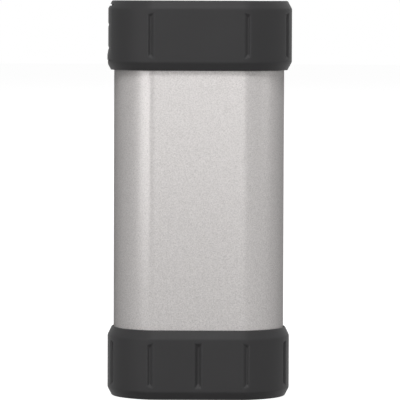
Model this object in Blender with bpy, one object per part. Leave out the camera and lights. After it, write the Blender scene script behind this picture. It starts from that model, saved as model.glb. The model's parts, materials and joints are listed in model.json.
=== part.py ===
"""Rechargeable hand warmer: an aluminium tube of flat-fronted, round-sided section between two end
shells, each under a pressed-on rubber bumper. Two cells, film heaters and a board fill it.

Metres, +Z up, front towards -Y. The origin is under the middle of the base, on the surface it stands on.
"""

import math

import bmesh
import bpy
from mathutils import Vector

# Clearances
FIT_GAP = 0.0003
CUT_OVERRUN = 0.0010
WELD = 0.000002

# Steps round curves, and the angle past which an edge stays sharp
SIDE_STEPS = 12
SHOULDER_STEPS = 2
ROUND_STEPS = 24
SMALL_ROUND_STEPS = 12
CORNER_STEPS = 3
SHARP_ANGLE = math.radians(30)

# Cells, which set the size of the case round them
CELL_RADIUS = 0.0092
CELL_LENGTH = 0.0652
CELL_GAP = 0.0014
CELL_EDGE = 0.0006
CELL_X = CELL_RADIUS + CELL_GAP / 2

# Heater films and the foam that presses them on
HEATER_THICKNESS = 0.00025
HEATER_MARGIN = 0.0002
FOAM_THICKNESS = 0.00465
FOAM_MARGIN = 0.0010
THERMISTOR_RADIUS = 0.0011
THERMISTOR_HEIGHT = 0.0040

# Case section: flats front and back, round sides, a shoulder arc between them
TUBE_WALL = 0.0015
CELL_SIDE_CLEARANCE = 0.004775
SIDE_CROWN = 0.0010
SHOULDER_RADIUS = 0.0060
CASE_WIDTH = (CELL_X + CELL_RADIUS + CELL_SIDE_CLEARANCE + TUBE_WALL) * 2
CASE_DEPTH = (CELL_RADIUS + FOAM_THICKNESS + HEATER_THICKNESS + TUBE_WALL + FIT_GAP * 3) * 2
SIDE_RADIUS = CASE_DEPTH / 2 + SIDE_CROWN
SIDE_X = CASE_WIDTH / 2 - SIDE_RADIUS
SHOULDER_Y = CASE_DEPTH / 2 - SHOULDER_RADIUS
SHOULDER_ARM = SIDE_RADIUS - SHOULDER_RADIUS
SHOULDER_TURN = math.acos(SHOULDER_Y / SHOULDER_ARM)
SHOULDER_X = SIDE_X + SHOULDER_ARM * math.sin(SHOULDER_TURN)
INNER_Y = CASE_DEPTH / 2 - TUBE_WALL
REAR_Y = CASE_DEPTH / 2

# Sockets
USB_WALL = 0.0004
USB_A_WIDTH = 0.0132
USB_A_HEIGHT = 0.0060
USB_A_LENGTH = 0.0140
USB_A_TONGUE_CLEARANCE = 0.0011
USB_A_TONGUE_WIDTH = USB_A_WIDTH - USB_A_TONGUE_CLEARANCE * 2
USB_A_TONGUE_THICKNESS = 0.0018
USB_A_TONGUE_SETBACK = 0.0016
USB_C_WIDTH = 0.0090
USB_C_HEIGHT = 0.0033
USB_C_LENGTH = 0.0073
USB_C_CORNER = 0.0012
USB_C_TONGUE_CLEARANCE = 0.0012
USB_C_TONGUE_WIDTH = USB_C_WIDTH - USB_C_TONGUE_CLEARANCE * 2
USB_C_TONGUE_THICKNESS = 0.0007
USB_C_TONGUE_SETBACK = 0.0008
PORT_WINDOW_LIP = 0.0004
PLUG_PAD_SHRINK = 0.0005
PLUG_PAD_TAPER = 0.0008
PLUG_PAD_REACH = 0.0006

# Case screws
SCREW_RADIUS = 0.00095
SCREW_HEAD_RADIUS = 0.0017
SCREW_HEAD_HEIGHT = 0.0014
SCREW_LENGTH = 0.0130
DRIVE_RADIUS = 0.0008
DRIVE_DEPTH = 0.0007

# Screw channels inside the tube, one towards each corner, clear of the wide socket
CHANNEL_RADIUS = 0.0024
CHANNEL_BITE = 0.0002
SCREW_FROM_SOCKET = 0.0004
CHANNEL_ARM = SIDE_RADIUS - TUBE_WALL - CHANNEL_RADIUS + CHANNEL_BITE
CHANNEL_Y = USB_A_WIDTH / 2 + SCREW_FROM_SOCKET + SCREW_HEAD_RADIUS
CHANNEL_X = SIDE_X + math.sqrt(CHANNEL_ARM * CHANNEL_ARM - CHANNEL_Y * CHANNEL_Y)

# Rubber bumpers
TOP_BUMPER_PROUD = 0.0023
BOTTOM_BUMPER_HEIGHT = 0.0205
BOTTOM_BUMPER_PROUD = 0.0018
BUMPER_FLOOR = 0.0020
BUMPER_OVERLAP_TOP = 0.0012
BUMPER_RIM_WIDTH = 0.0043
BUMPER_RIM_THICKNESS = 0.0013
BEVEL_HEIGHT = 0.0026
BEVEL_INSET = 0.0013
BEVEL_SLOPE = BEVEL_INSET / BEVEL_HEIGHT
TOP_LIP_THICKNESS = 0.0007
BOTTOM_LIP_THICKNESS = 0.0003
GROOVE_WIDTH = 0.0021
GROOVE_DEPTH = 0.0009
GROOVE_FLOOR_WIDTH = 0.0009
GROOVE_TIP = 0.0012
GROOVE_MARGIN = 0.0012
GROOVE_PAST_SHOULDER = 0.0018
GROOVE_PITCH = SHOULDER_X + GROOVE_PAST_SHOULDER
SIDE_GROOVE_ANGLE = math.radians(22)

# End shells, gaskets and lid
SHELL_WALL = 0.0015
SHELL_FLOOR = 0.0015
BASE_SHELL_THICKNESS = 0.0041
GASKET_THICKNESS = 0.0010
LID_THICKNESS = 0.0014
LID_PANEL_SINK = 0.0003
LID_CLEARANCE = 0.0018
PLUG_FROM_CHANNEL = 0.0028
PLUG_WIDTH = (CHANNEL_X - CHANNEL_RADIUS - PLUG_FROM_CHANNEL) * 2
PLUG_WALL = 0.0016
TOP_PLUG_LENGTH = 0.0080
BASE_PLUG_LENGTH = 0.0092
WIRE_HOLE_WIDTH = 0.0110
WIRE_HOLE_DEPTH = 0.0080
WIRE_HOLE_FROM_PLUG_WALL = 0.0004
WIRE_HOLE_X = (PLUG_WIDTH - WIRE_HOLE_WIDTH) / 2 - PLUG_WALL - WIRE_HOLE_FROM_PLUG_WALL

# Cell holders and tabs
HOLDER_DEPTH = 0.0080
HOLDER_FLOOR = 0.0033
HOLDER_CEILING = 0.0052
HOLDER_WIRE_RADIUS = 0.0020
TAB_THICKNESS = 0.0002
TAB_WIDTH = 0.0070
TAB_FROM_MIDDLE = 0.0014

# Wires
WIRE_FROM_CELL_AXIS = 0.0029
WIRE_X = CELL_X - WIRE_FROM_CELL_AXIS
BATTERY_WIRE_RADIUS = 0.0008
HEATER_WIRE_RADIUS = 0.0006
SLOT_WIDTH = 0.0036
SLOT_DEPTH = 0.0039
WIRE_STEP = 0.0030

# Heights, from the base up, that several pieces share
BOARD_THICKNESS = 0.0012
TUBE_BOTTOM = BUMPER_FLOOR + BASE_SHELL_THICKNESS + GASKET_THICKNESS + FIT_GAP * 3
BASE_PLUG_TOP = TUBE_BOTTOM + BASE_PLUG_LENGTH
CELL_BOTTOM = BASE_PLUG_TOP + HOLDER_FLOOR + TAB_THICKNESS + FIT_GAP * 3
CELL_TOP = CELL_BOTTOM + CELL_LENGTH
HEATER_BOTTOM = CELL_BOTTOM + HOLDER_DEPTH + FIT_GAP
HEATER_TOP = CELL_TOP - HOLDER_DEPTH - FIT_GAP
HOLDER_TOP = CELL_TOP + HOLDER_CEILING
TOP_PLUG_BOTTOM = HOLDER_TOP + FIT_GAP
SHELL_BOTTOM = TOP_PLUG_BOTTOM + TOP_PLUG_LENGTH
TUBE_TOP = SHELL_BOTTOM - GASKET_THICKNESS - FIT_GAP * 2
TOP_BUMPER_LOW = TUBE_TOP - BUMPER_OVERLAP_TOP
SHELL_FLOOR_TOP = SHELL_BOTTOM + SHELL_FLOOR
USB_A_BOTTOM = SHELL_FLOOR_TOP + FIT_GAP
BOARD_BOTTOM = USB_A_BOTTOM + USB_A_HEIGHT + FIT_GAP
BOARD_TOP = BOARD_BOTTOM + BOARD_THICKNESS
USB_C_BOTTOM = BOARD_TOP + FIT_GAP
LID_BOTTOM = USB_C_BOTTOM + USB_C_HEIGHT + LID_CLEARANCE
SHELL_TOP = LID_BOTTOM - FIT_GAP
LID_TOP = LID_BOTTOM + LID_THICKNESS
CASE_HEIGHT = LID_TOP + FIT_GAP + BUMPER_RIM_THICKNESS

# Port cover and its anchor
COVER_PORT_MARGIN = 0.0007
COVER_WIDTH = USB_A_WIDTH + COVER_PORT_MARGIN * 2
COVER_PROUD = 0.0018
COVER_LIP_PROUD = 0.00205
COVER_BOTTOM_MARGIN = 0.0005
COVER_LIP_HEIGHT = 0.0030
COVER_NOTCH_DROP = 0.00135
COVER_NOTCH_HALF = 0.00025
COVER_GROOVE_HALF = 0.0003
COVER_GROOVE_DEPTH = 0.0004
COVER_UPPER_GROOVE_DROP = 0.0073
COVER_LOWER_GROOVE_DROP = 0.0142
HINGE_Z = CASE_HEIGHT - COVER_NOTCH_DROP
HINGE_OFFSET = COVER_PROUD - (BEVEL_HEIGHT - COVER_NOTCH_DROP) * BEVEL_SLOPE
HINGE_X = -(CASE_WIDTH / 2 + HINGE_OFFSET)
ANCHOR_WIDTH = 0.0080
ANCHOR_SINK = 0.00005
ANCHOR_PEG_RADIUS = 0.0012
ANCHOR_PEG_LENGTH = 0.0012
ANCHOR_PEG_INSET = 0.0028

# Button and switch
BUTTON_FROM_GROOVE = 0.0080
BUTTON_X = GROOVE_PITCH - BUTTON_FROM_GROOVE
BUTTON_Z = (BOARD_BOTTOM + BOARD_TOP) / 2
BUTTON_RADIUS = 0.0042
BUTTON_FACE_SINK = 0.00005
BUTTON_FLANGE_RADIUS = 0.0050
BUTTON_FLANGE_THICKNESS = 0.0013
BUTTON_EDGE = 0.0004
BUTTON_TRAVEL = 0.0004
TRIM_RADIUS = 0.0058
TRIM_SINK = 0.0003
SWITCH_WIDTH = 0.0066
SWITCH_HEIGHT = 0.0040
SWITCH_DEPTH = 0.0044
PLUNGER_WIDTH = 0.0028
PLUNGER_HEIGHT = 0.0014
PLUNGER_PROUD = 0.0007
PLUNGER_HIDDEN = 0.0015

# Board and its parts
BOARD_INSET = 0.0024
BOARD_FRONT_Y = BOARD_INSET - CASE_DEPTH / 2
BOARD_BUTTON_CLEARANCE = 0.0005
BUTTON_BACK = INNER_Y - FIT_GAP - BUTTON_FLANGE_THICKNESS
BOARD_REAR_Y = BUTTON_BACK - BUTTON_TRAVEL - BOARD_BUTTON_CLEARANCE
POST_RADIUS = 0.0017
POST_FROM_CHANNEL_X = 0.0037
POST_FROM_CHANNEL_Y = 0.0018
POST_X = CHANNEL_X - POST_FROM_CHANNEL_X
POST_Y = CHANNEL_Y + POST_FROM_CHANNEL_Y
BOARD_SCREW_RADIUS = 0.0007
BOARD_SCREW_HEAD_RADIUS = 0.0015
BOARD_SCREW_HEAD_HEIGHT = 0.0009
BOARD_SCREW_LENGTH = 0.0050
CHIP_HEIGHT = 0.0010
CAPACITOR_RADIUS = 0.0020
CAPACITOR_HEIGHT = 0.0042
CAPACITOR_FROM_POST = 0.0020
CAPACITOR_FROM_FRONT = 0.0166
CAPACITOR_X = POST_X + CAPACITOR_FROM_POST
CAPACITOR_Y = BOARD_FRONT_Y + CAPACITOR_FROM_FRONT
INDUCTOR_RADIUS = 0.0032
INDUCTOR_HEIGHT = 0.0030
INDUCTOR_FROM_CAPACITOR = 0.0065
INDUCTOR_FROM_FRONT = 0.0081
INDUCTOR_X = CAPACITOR_X - INDUCTOR_FROM_CAPACITOR
INDUCTOR_Y = BOARD_FRONT_Y + INDUCTOR_FROM_FRONT
POWER_CHIP_SIZE = 0.0050
POWER_CHIP_FROM_INDUCTOR = 0.0080
POWER_CHIP_FROM_FRONT = 0.0081
POWER_CHIP_X = INDUCTOR_X - POWER_CHIP_FROM_INDUCTOR
POWER_CHIP_Y = BOARD_FRONT_Y + POWER_CHIP_FROM_FRONT
CHARGER_CHIP_SIZE = 0.0040
CHARGER_CHIP_FROM_POWER_CHIP = 0.0078
CHARGER_CHIP_FROM_FRONT = 0.0061
CHARGER_CHIP_X = POWER_CHIP_X - CHARGER_CHIP_FROM_POWER_CHIP
CHARGER_CHIP_Y = BOARD_FRONT_Y + CHARGER_CHIP_FROM_FRONT

# Lights
LIGHT_COUNT = 4
LIGHT_FROM_BOARD_SCREW = 0.0020
LIGHT_FROM_BUTTON = 0.0082
LIGHT_FIRST_X = BOARD_SCREW_HEAD_RADIUS + LIGHT_FROM_BOARD_SCREW - POST_X
LIGHT_PITCH = (BUTTON_X - LIGHT_FROM_BUTTON - LIGHT_FIRST_X) / (LIGHT_COUNT - 1)
LIGHT_WIDTH_SHARE = 0.283
LIGHT_RADIUS = LIGHT_PITCH * LIGHT_WIDTH_SHARE
LIGHT_SINK = 0.0002
LIGHT_BAR_THICKNESS = 0.0016
LIGHT_BAR_HEIGHT = 0.0044
LIGHT_BAR_MARGIN = 0.0012
LED_WIDTH_SHARE = 0.53
LED_WIDTH = LIGHT_PITCH * LED_WIDTH_SHARE
LED_DEPTH = 0.0014
LED_HEIGHT = 0.0011

# Finishes: base colour, roughness, metallic
FINISHES = {
    "silver_aluminium": ((0.56, 0.54, 0.52), 0.42, 0.85),
    "black_rubber": ((0.052, 0.052, 0.054), 0.68, 0.0),
    "black_plastic": ((0.035, 0.035, 0.037), 0.45, 0.0),
    "button_plastic": ((0.070, 0.070, 0.074), 0.35, 0.0),
    "trim_plastic": ((0.30, 0.30, 0.31), 0.28, 0.6),
    "clear_plastic": ((0.82, 0.85, 0.86), 0.18, 0.0),
    "gasket_rubber": ((0.42, 0.10, 0.06), 0.60, 0.0),
    "screw_steel": ((0.48, 0.48, 0.50), 0.35, 1.0),
    "socket_steel": ((0.62, 0.62, 0.64), 0.25, 1.0),
    "board_green": ((0.03, 0.16, 0.08), 0.45, 0.0),
    "chip_black": ((0.02, 0.02, 0.02), 0.50, 0.0),
    "ferrite": ((0.10, 0.10, 0.11), 0.55, 0.2),
    "capacitor_can": ((0.60, 0.60, 0.62), 0.30, 0.9),
    "cell_wrap": ((0.05, 0.28, 0.42), 0.35, 0.0),
    "holder_plastic": ((0.60, 0.60, 0.58), 0.50, 0.0),
    "nickel": ((0.66, 0.64, 0.58), 0.30, 1.0),
    "heater_film": ((0.55, 0.24, 0.05), 0.30, 0.1),
    "foam_grey": ((0.18, 0.18, 0.19), 0.95, 0.0),
    "wire_red": ((0.55, 0.03, 0.02), 0.45, 0.0),
    "wire_black": ((0.02, 0.02, 0.02), 0.45, 0.0),
    "wire_white": ((0.75, 0.75, 0.73), 0.45, 0.0),
    "led_white": ((0.85, 0.85, 0.78), 0.35, 0.0),
}


def clear_scene():
    """Remove every object that the file opened with."""
    for item in list(bpy.data.objects):
        bpy.data.objects.remove(item, do_unlink=True)


def finish(name):
    """Return the named material, made on first use."""
    found = bpy.data.materials.get(name)
    if found:
        return found
    colour, roughness, metallic = FINISHES[name]
    made = bpy.data.materials.new(name)
    made.use_nodes = True
    shader = made.node_tree.nodes["Principled BSDF"]
    shader.inputs["Base Color"].default_value = (*colour, 1)
    shader.inputs["Roughness"].default_value = roughness
    shader.inputs["Metallic"].default_value = metallic
    return made


def add_object(name, bm, look, place=(0, 0, 0), smooth=False):
    """Turn a bmesh into a named object at a place, with outward faces and one finish."""
    bm.normal_update()
    bmesh.ops.recalc_face_normals(bm, faces=bm.faces)
    mesh = bpy.data.meshes.new(name)
    bm.to_mesh(mesh)
    bm.free()
    if smooth:
        mesh.shade_smooth()
        mesh.set_sharp_from_angle(angle=SHARP_ANGLE)
    made = bpy.data.objects.new(name, mesh)
    made.location = place
    bpy.context.collection.objects.link(made)
    if look:
        mesh.materials.append(finish(look))
    return made


def section(offset):
    """Corners of the case's outline grown by offset: side arcs, shoulder arcs and flats."""
    quarter = []
    for step in range(SIDE_STEPS + 1):
        angle = (math.pi / 2 - SHOULDER_TURN) * step / SIDE_STEPS
        reach = SIDE_RADIUS + offset
        quarter.append((SIDE_X + reach * math.cos(angle), reach * math.sin(angle)))
    for step in range(1, SHOULDER_STEPS + 1):
        angle = math.pi / 2 - SHOULDER_TURN + SHOULDER_TURN * step / SHOULDER_STEPS
        reach = SHOULDER_RADIUS + offset
        quarter.append((SHOULDER_X + reach * math.cos(angle), SHOULDER_Y + reach * math.sin(angle)))
    back = quarter + [(-x, y) for x, y in reversed(quarter)]
    front = [(x, -y) for x, y in reversed(back[1:-1])]
    return back + front


def side_reach(offset, across):
    """Distance from the middle plane to the side arc, grown by offset, at a place across it."""
    reach = SIDE_RADIUS + offset
    return SIDE_X + math.sqrt(reach * reach - across * across)


def swept(name, profile, look, closed=True):
    """Extrude the case's outline from one (offset, height) corner of a profile to the next.

    A closed profile makes a ring. An open one is filled across at both of its ends.
    """
    bm = bmesh.new()
    offset, height = profile[0]
    corners = [bm.verts.new((x, y, height)) for x, y in section(offset)]
    first_ring = [bm.edges.new((corners[at - 1], corners[at])) for at in range(len(corners))]
    ring = first_ring
    for offset, height in profile[1:] + ([profile[0]] if closed else []):
        grown = set(bmesh.ops.extrude_edge_only(bm, edges=ring)["geom"])
        corners = [next(edge.other_vert(vert) for edge in vert.link_edges if edge.other_vert(vert) in grown)
                   for vert in corners]
        for vert, (x, y) in zip(corners, section(offset)):
            vert.co = (x, y, height)
        ring = [bm.edges.get((corners[at - 1], corners[at])) for at in range(len(corners))]
    if closed:
        bmesh.ops.remove_doubles(bm, verts=bm.verts, dist=WELD)
    else:
        bmesh.ops.edgeloop_fill(bm, edges=first_ring)
        bmesh.ops.edgeloop_fill(bm, edges=ring)
    return add_object(name, bm, look, smooth=True)


def box(name, low, high, look=None):
    """Box between two corners, with its origin at its middle."""
    low = Vector(low)
    high = Vector(high)
    bm = bmesh.new()
    bmesh.ops.create_cube(bm, size=1)
    bmesh.ops.scale(bm, vec=high - low, verts=bm.verts)
    return add_object(name, bm, look, (low + high) / 2)


def rod(name, start, end, radius, look=None, steps=ROUND_STEPS):
    """Round bar from start to end, with its origin at its middle."""
    start = Vector(start)
    end = Vector(end)
    along = end - start
    bm = bmesh.new()
    bmesh.ops.create_cone(bm, cap_ends=True, segments=steps, radius1=radius, radius2=radius,
                          depth=along.length)
    made = add_object(name, bm, look, (start + end) / 2, smooth=True)
    made.rotation_euler = along.to_track_quat("Z", "Y").to_euler()
    return made


def turned(name, profile, look, place, axis="Z", steps=ROUND_STEPS):
    """Spin a profile of (radius, height) corners, from the axis out and back, about the given axis."""
    bm = bmesh.new()
    corners = [bm.verts.new((radius, 0, height)) for radius, height in profile]
    edges = [bm.edges.new(pair) for pair in zip(corners, corners[1:])]
    if profile[0][0] and profile[-1][0]:
        edges.append(bm.edges.new((corners[-1], corners[0])))
    bmesh.ops.spin(bm, geom=corners + edges, axis=(0, 0, 1), cent=(0, 0, 0), steps=steps,
                   angle=math.tau, use_duplicate=False, use_merge=True)
    bmesh.ops.remove_doubles(bm, verts=bm.verts, dist=WELD)
    made = add_object(name, bm, look, place, smooth=True)
    if axis == "Y":
        made.rotation_euler = (-math.pi / 2, 0, 0)
    return made


def shape_with(target, operation, *tools):
    """Add a Boolean of each tool to the target, and keep the tools out of the part."""
    for tool in tools:
        step = target.modifiers.new(tool.name, "BOOLEAN")
        step.operation = operation
        step.object = tool
        tool.hide_render = True
        tool.display_type = "WIRE"
    return target


def cut(target, *tools):
    """Take each tool's shape out of the target."""
    return shape_with(target, "DIFFERENCE", *tools)


def join(target, *tools):
    """Add each tool's shape to the target."""
    return shape_with(target, "UNION", *tools)


def keep_inside(target, tool):
    """Keep only what the target and the tool share."""
    return shape_with(target, "INTERSECT", tool)


def corners_of(across, along):
    """The four corners at plus and minus across, plus and minus along."""
    return [(x, y) for x in (-across, across) for y in (-along, along)]


def groove_tool(name, place, facing, low, high):
    """Cutter for one groove: a trapezoid trough with slanted ends, opening outwards."""
    flank = (GROOVE_WIDTH - GROOVE_FLOOR_WIDTH) / 2 / GROOVE_DEPTH
    end_slope = GROOVE_TIP / GROOVE_DEPTH
    bm = bmesh.new()
    bmesh.ops.create_cube(bm, size=1)
    for vert in bm.verts:
        side, out, up = vert.co * 2
        outside = out > 0
        height = CUT_OVERRUN if outside else -GROOVE_DEPTH
        half_width = GROOVE_WIDTH / 2 + flank * height
        half_length = (high - low) / 2 + end_slope * height
        vert.co = (side * half_width, -height, up * half_length)
    made = add_object(name, bm, None, (place[0], place[1], (low + high) / 2))
    made.rotation_euler = (0, 0, facing)
    return made


def groove_places(proud):
    """Places and facings of a bumper's grooves: three in front, three behind, two on each side."""
    reach = SIDE_RADIUS + proud
    flat_y = CASE_DEPTH / 2 + proud
    places = {"front_left": (-GROOVE_PITCH, -flat_y, 0), "front_middle": (0, -flat_y, 0),
              "front_right": (GROOVE_PITCH, -flat_y, 0), "rear_left": (-GROOVE_PITCH, flat_y, math.pi),
              "rear_middle": (0, flat_y, math.pi), "rear_right": (GROOVE_PITCH, flat_y, math.pi)}
    side = SIDE_X + reach * math.cos(SIDE_GROOVE_ANGLE)
    depth = reach * math.sin(SIDE_GROOVE_ANGLE)
    quarter = math.pi / 2
    places["right_front"] = (side, -depth, quarter - SIDE_GROOVE_ANGLE)
    places["right_rear"] = (side, depth, quarter + SIDE_GROOVE_ANGLE)
    places["left_front"] = (-side, -depth, -quarter + SIDE_GROOVE_ANGLE)
    places["left_rear"] = (-side, depth, -quarter - SIDE_GROOVE_ANGLE)
    return places


def cut_grooves(bumper, proud, low, high, left_out=()):
    """Cut the upright grooves into a bumper's band, apart from those left out."""
    for key, (x, y, facing) in groove_places(proud).items():
        if key not in left_out:
            cut(bumper, groove_tool(f"{bumper.name}_groove_{key}", (x, y), facing, low, high))


def make_tube():
    """Extruded tube with a bored screw channel at each corner."""
    tube = swept("case_tube", [(0, TUBE_BOTTOM), (0, TUBE_TOP), (-TUBE_WALL, TUBE_TOP),
                               (-TUBE_WALL, TUBE_BOTTOM)], "silver_aluminium")
    for at, (x, y) in enumerate(corners_of(CHANNEL_X, CHANNEL_Y)):
        channel = rod(f"channel_{at}", (x, y, TUBE_BOTTOM), (x, y, TUBE_TOP), CHANNEL_RADIUS,
                      steps=SMALL_ROUND_STEPS)
        bore = rod(f"channel_bore_{at}", (x, y, TUBE_BOTTOM - CUT_OVERRUN),
                   (x, y, TUBE_TOP + CUT_OVERRUN), SCREW_RADIUS + FIT_GAP, steps=SMALL_ROUND_STEPS)
        cut(join(tube, channel), bore)


def make_bottom_bumper():
    """Rubber cup under the tube, with ten grooves."""
    lip = FIT_GAP + BOTTOM_LIP_THICKNESS
    top = BOTTOM_BUMPER_HEIGHT
    foot = BOTTOM_BUMPER_PROUD - BEVEL_INSET
    cup = swept("bottom_bumper", [(foot, 0), (BOTTOM_BUMPER_PROUD, BEVEL_HEIGHT),
                                  (BOTTOM_BUMPER_PROUD, top - BEVEL_HEIGHT), (lip, top),
                                  (FIT_GAP, top), (FIT_GAP, BUMPER_FLOOR)], "black_rubber", closed=False)
    cut_grooves(cup, BOTTOM_BUMPER_PROUD, BEVEL_HEIGHT + GROOVE_MARGIN, top - BEVEL_HEIGHT - GROOVE_MARGIN)


def top_bumper_outside(height):
    """Offset of the top bumper's outer bevel at a height above the band."""
    return TOP_BUMPER_PROUD - (height - CASE_HEIGHT + BEVEL_HEIGHT) * BEVEL_SLOPE


def make_top_bumper():
    """Rubber ring round the top shell, with its rim over the lid and openings for what it frames."""
    lip = FIT_GAP + TOP_LIP_THICKNESS
    low = TOP_BUMPER_LOW
    band_top = CASE_HEIGHT - BEVEL_HEIGHT
    under_rim = CASE_HEIGHT - BUMPER_RIM_THICKNESS
    ring = swept("top_bumper", [(lip, low), (TOP_BUMPER_PROUD, low + BEVEL_HEIGHT),
                                (TOP_BUMPER_PROUD, band_top), (TOP_BUMPER_PROUD - BEVEL_INSET, CASE_HEIGHT),
                                (FIT_GAP - BUMPER_RIM_WIDTH, CASE_HEIGHT),
                                (FIT_GAP - BUMPER_RIM_WIDTH, under_rim), (FIT_GAP, under_rim),
                                (FIT_GAP, low)], "black_rubber")
    cut_grooves(ring, TOP_BUMPER_PROUD, low + BEVEL_HEIGHT + GROOVE_MARGIN, band_top - GROOVE_MARGIN,
                left_out=("front_middle", "rear_middle", "left_front", "left_rear"))
    half = COVER_WIDTH / 2 + FIT_GAP
    outer = CASE_WIDTH / 2 + TOP_BUMPER_PROUD + CUT_OVERRUN
    window = box("cover_window", (-outer, -half, low + BEVEL_HEIGHT + COVER_BOTTOM_MARGIN - FIT_GAP),
                 (-side_reach(0, half) + CUT_OVERRUN, half, HINGE_Z + COVER_NOTCH_HALF))
    slot_half = ANCHOR_WIDTH / 2 + FIT_GAP
    inner = CASE_WIDTH / 2 - BUMPER_RIM_WIDTH - CUT_OVERRUN
    slot = box("anchor_slot", (-outer, -slot_half, HINGE_Z), (-inner, slot_half, CASE_HEIGHT + CUT_OVERRUN))
    past = REAR_Y + TOP_BUMPER_PROUD + CUT_OVERRUN
    bore = rod("trim_bore", (BUTTON_X, REAR_Y - CUT_OVERRUN, BUTTON_Z), (BUTTON_X, past, BUTTON_Z),
               TRIM_RADIUS + FIT_GAP)
    cut(ring, window, slot, bore, *light_bores("bumper_light_bore", REAR_Y - CUT_OVERRUN, past))


def light_places():
    """Places of the indicator lights along X."""
    return [LIGHT_FIRST_X + LIGHT_PITCH * at for at in range(LIGHT_COUNT)]


def light_bores(name, start, end):
    """Cutters for the light guide's pins between two depths."""
    return [rod(f"{name}_{at}", (x, start, BUTTON_Z), (x, end, BUTTON_Z), LIGHT_RADIUS + FIT_GAP,
                steps=SMALL_ROUND_STEPS) for at, x in enumerate(light_places())]


def screw_bores(name, low, high, radius):
    """Cutters for the four case screws between two heights."""
    return [rod(f"{name}_{at}", (x, y, low), (x, y, high), radius, steps=SMALL_ROUND_STEPS)
            for at, (x, y) in enumerate(corners_of(CHANNEL_X, CHANNEL_Y))]


def plug_frame(name, low, high, grown=0):
    """Box that fits between the tube's flat walls, or the room it needs when grown."""
    half_x = PLUG_WIDTH / 2 + grown
    half_y = INNER_Y - FIT_GAP + grown
    return box(name, (-half_x, -half_y, low), (half_x, half_y, high))


def make_gasket(name, low):
    """Flat seal between the tube's end and a shell, with room for the plug frame and the screws."""
    high = low + GASKET_THICKNESS
    seal = swept(name, [(-FIT_GAP, low), (-FIT_GAP, high)], "gasket_rubber", closed=False)
    room = plug_frame(f"{name}_room", low - CUT_OVERRUN, high + CUT_OVERRUN, FIT_GAP)
    cut(seal, room, *screw_bores(f"{name}_bore", low - CUT_OVERRUN, high + CUT_OVERRUN,
                                 SCREW_RADIUS + FIT_GAP))


def make_bottom_shell():
    """Plate that closes the tube's lower end, with a plug frame inside the tube."""
    low = BUMPER_FLOOR + FIT_GAP
    high = low + BASE_SHELL_THICKNESS - FIT_GAP
    shell = swept("bottom_end_cap", [(0, low), (0, high)], "black_plastic", closed=False)
    join(shell, plug_frame("base_plug", high - CUT_OVERRUN, BASE_PLUG_TOP))
    hollow = plug_frame("base_plug_hollow", high, BASE_PLUG_TOP + CUT_OVERRUN, -PLUG_WALL)
    sink = low + SCREW_HEAD_HEIGHT + FIT_GAP * 2
    cut(shell, hollow, *screw_bores("base_bore", low - CUT_OVERRUN, high + CUT_OVERRUN,
                                    SCREW_RADIUS + FIT_GAP),
        *screw_bores("base_sink", low - CUT_OVERRUN, sink, SCREW_HEAD_RADIUS + FIT_GAP))


def port_window(name, low, width, height):
    """Cutter through the shell's left wall for one socket's mouth."""
    outer = CASE_WIDTH / 2 + CUT_OVERRUN
    inner = side_reach(-SHELL_WALL, width / 2) - CUT_OVERRUN
    half = width / 2 - PORT_WINDOW_LIP
    return box(name, (-outer, -half, low + PORT_WINDOW_LIP), (-inner, half, low + height - PORT_WINDOW_LIP))


def make_top_shell():
    """Open cup on the tube's upper end: floor, wall, plug frame, board posts and openings."""
    shell = swept("top_end_cap", [(0, SHELL_BOTTOM), (0, SHELL_TOP), (-SHELL_WALL, SHELL_TOP),
                                  (-SHELL_WALL, SHELL_FLOOR_TOP)], "black_plastic", closed=False)
    join(shell, plug_frame("top_plug", TOP_PLUG_BOTTOM, SHELL_BOTTOM + SHELL_FLOOR / 2))
    for at, (x, y) in enumerate(corners_of(POST_X, POST_Y)):
        join(shell, rod(f"board_post_{at}", (x, y, SHELL_FLOOR_TOP - SHELL_FLOOR / 2),
                        (x, y, BOARD_BOTTOM - FIT_GAP), POST_RADIUS, steps=SMALL_ROUND_STEPS))
    hollow = plug_frame("top_plug_hollow", TOP_PLUG_BOTTOM - CUT_OVERRUN, SHELL_BOTTOM, -PLUG_WALL)
    wire_hole = box("wire_hole", (WIRE_HOLE_X - WIRE_HOLE_WIDTH / 2, -WIRE_HOLE_DEPTH / 2,
                                  SHELL_BOTTOM - CUT_OVERRUN),
                    (WIRE_HOLE_X + WIRE_HOLE_WIDTH / 2, WIRE_HOLE_DEPTH / 2, SHELL_FLOOR_TOP + CUT_OVERRUN))
    usb_a = port_window("usb_a_window", USB_A_BOTTOM, USB_A_WIDTH, USB_A_HEIGHT)
    usb_c = port_window("usb_c_window", USB_C_BOTTOM, USB_C_WIDTH, USB_C_HEIGHT)
    inner = REAR_Y - SHELL_WALL - CUT_OVERRUN
    button = rod("button_bore", (BUTTON_X, inner, BUTTON_Z), (BUTTON_X, REAR_Y + CUT_OVERRUN, BUTTON_Z),
                 BUTTON_RADIUS + FIT_GAP)
    cut(shell, hollow, wire_hole, usb_a, usb_c, button,
        *light_bores("shell_light_bore", inner, REAR_Y + CUT_OVERRUN),
        *screw_bores("shell_bore", SHELL_BOTTOM - CUT_OVERRUN, SHELL_FLOOR_TOP + CUT_OVERRUN,
                     SCREW_RADIUS + FIT_GAP))
    pilot = BOARD_BOTTOM - BOARD_SCREW_LENGTH
    for at, (x, y) in enumerate(board_screw_places()):
        cut(shell, rod(f"post_pilot_{at}", (x, y, pilot), (x, y, BOARD_BOTTOM + CUT_OVERRUN),
                       BOARD_SCREW_RADIUS + FIT_GAP, steps=SMALL_ROUND_STEPS))


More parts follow.
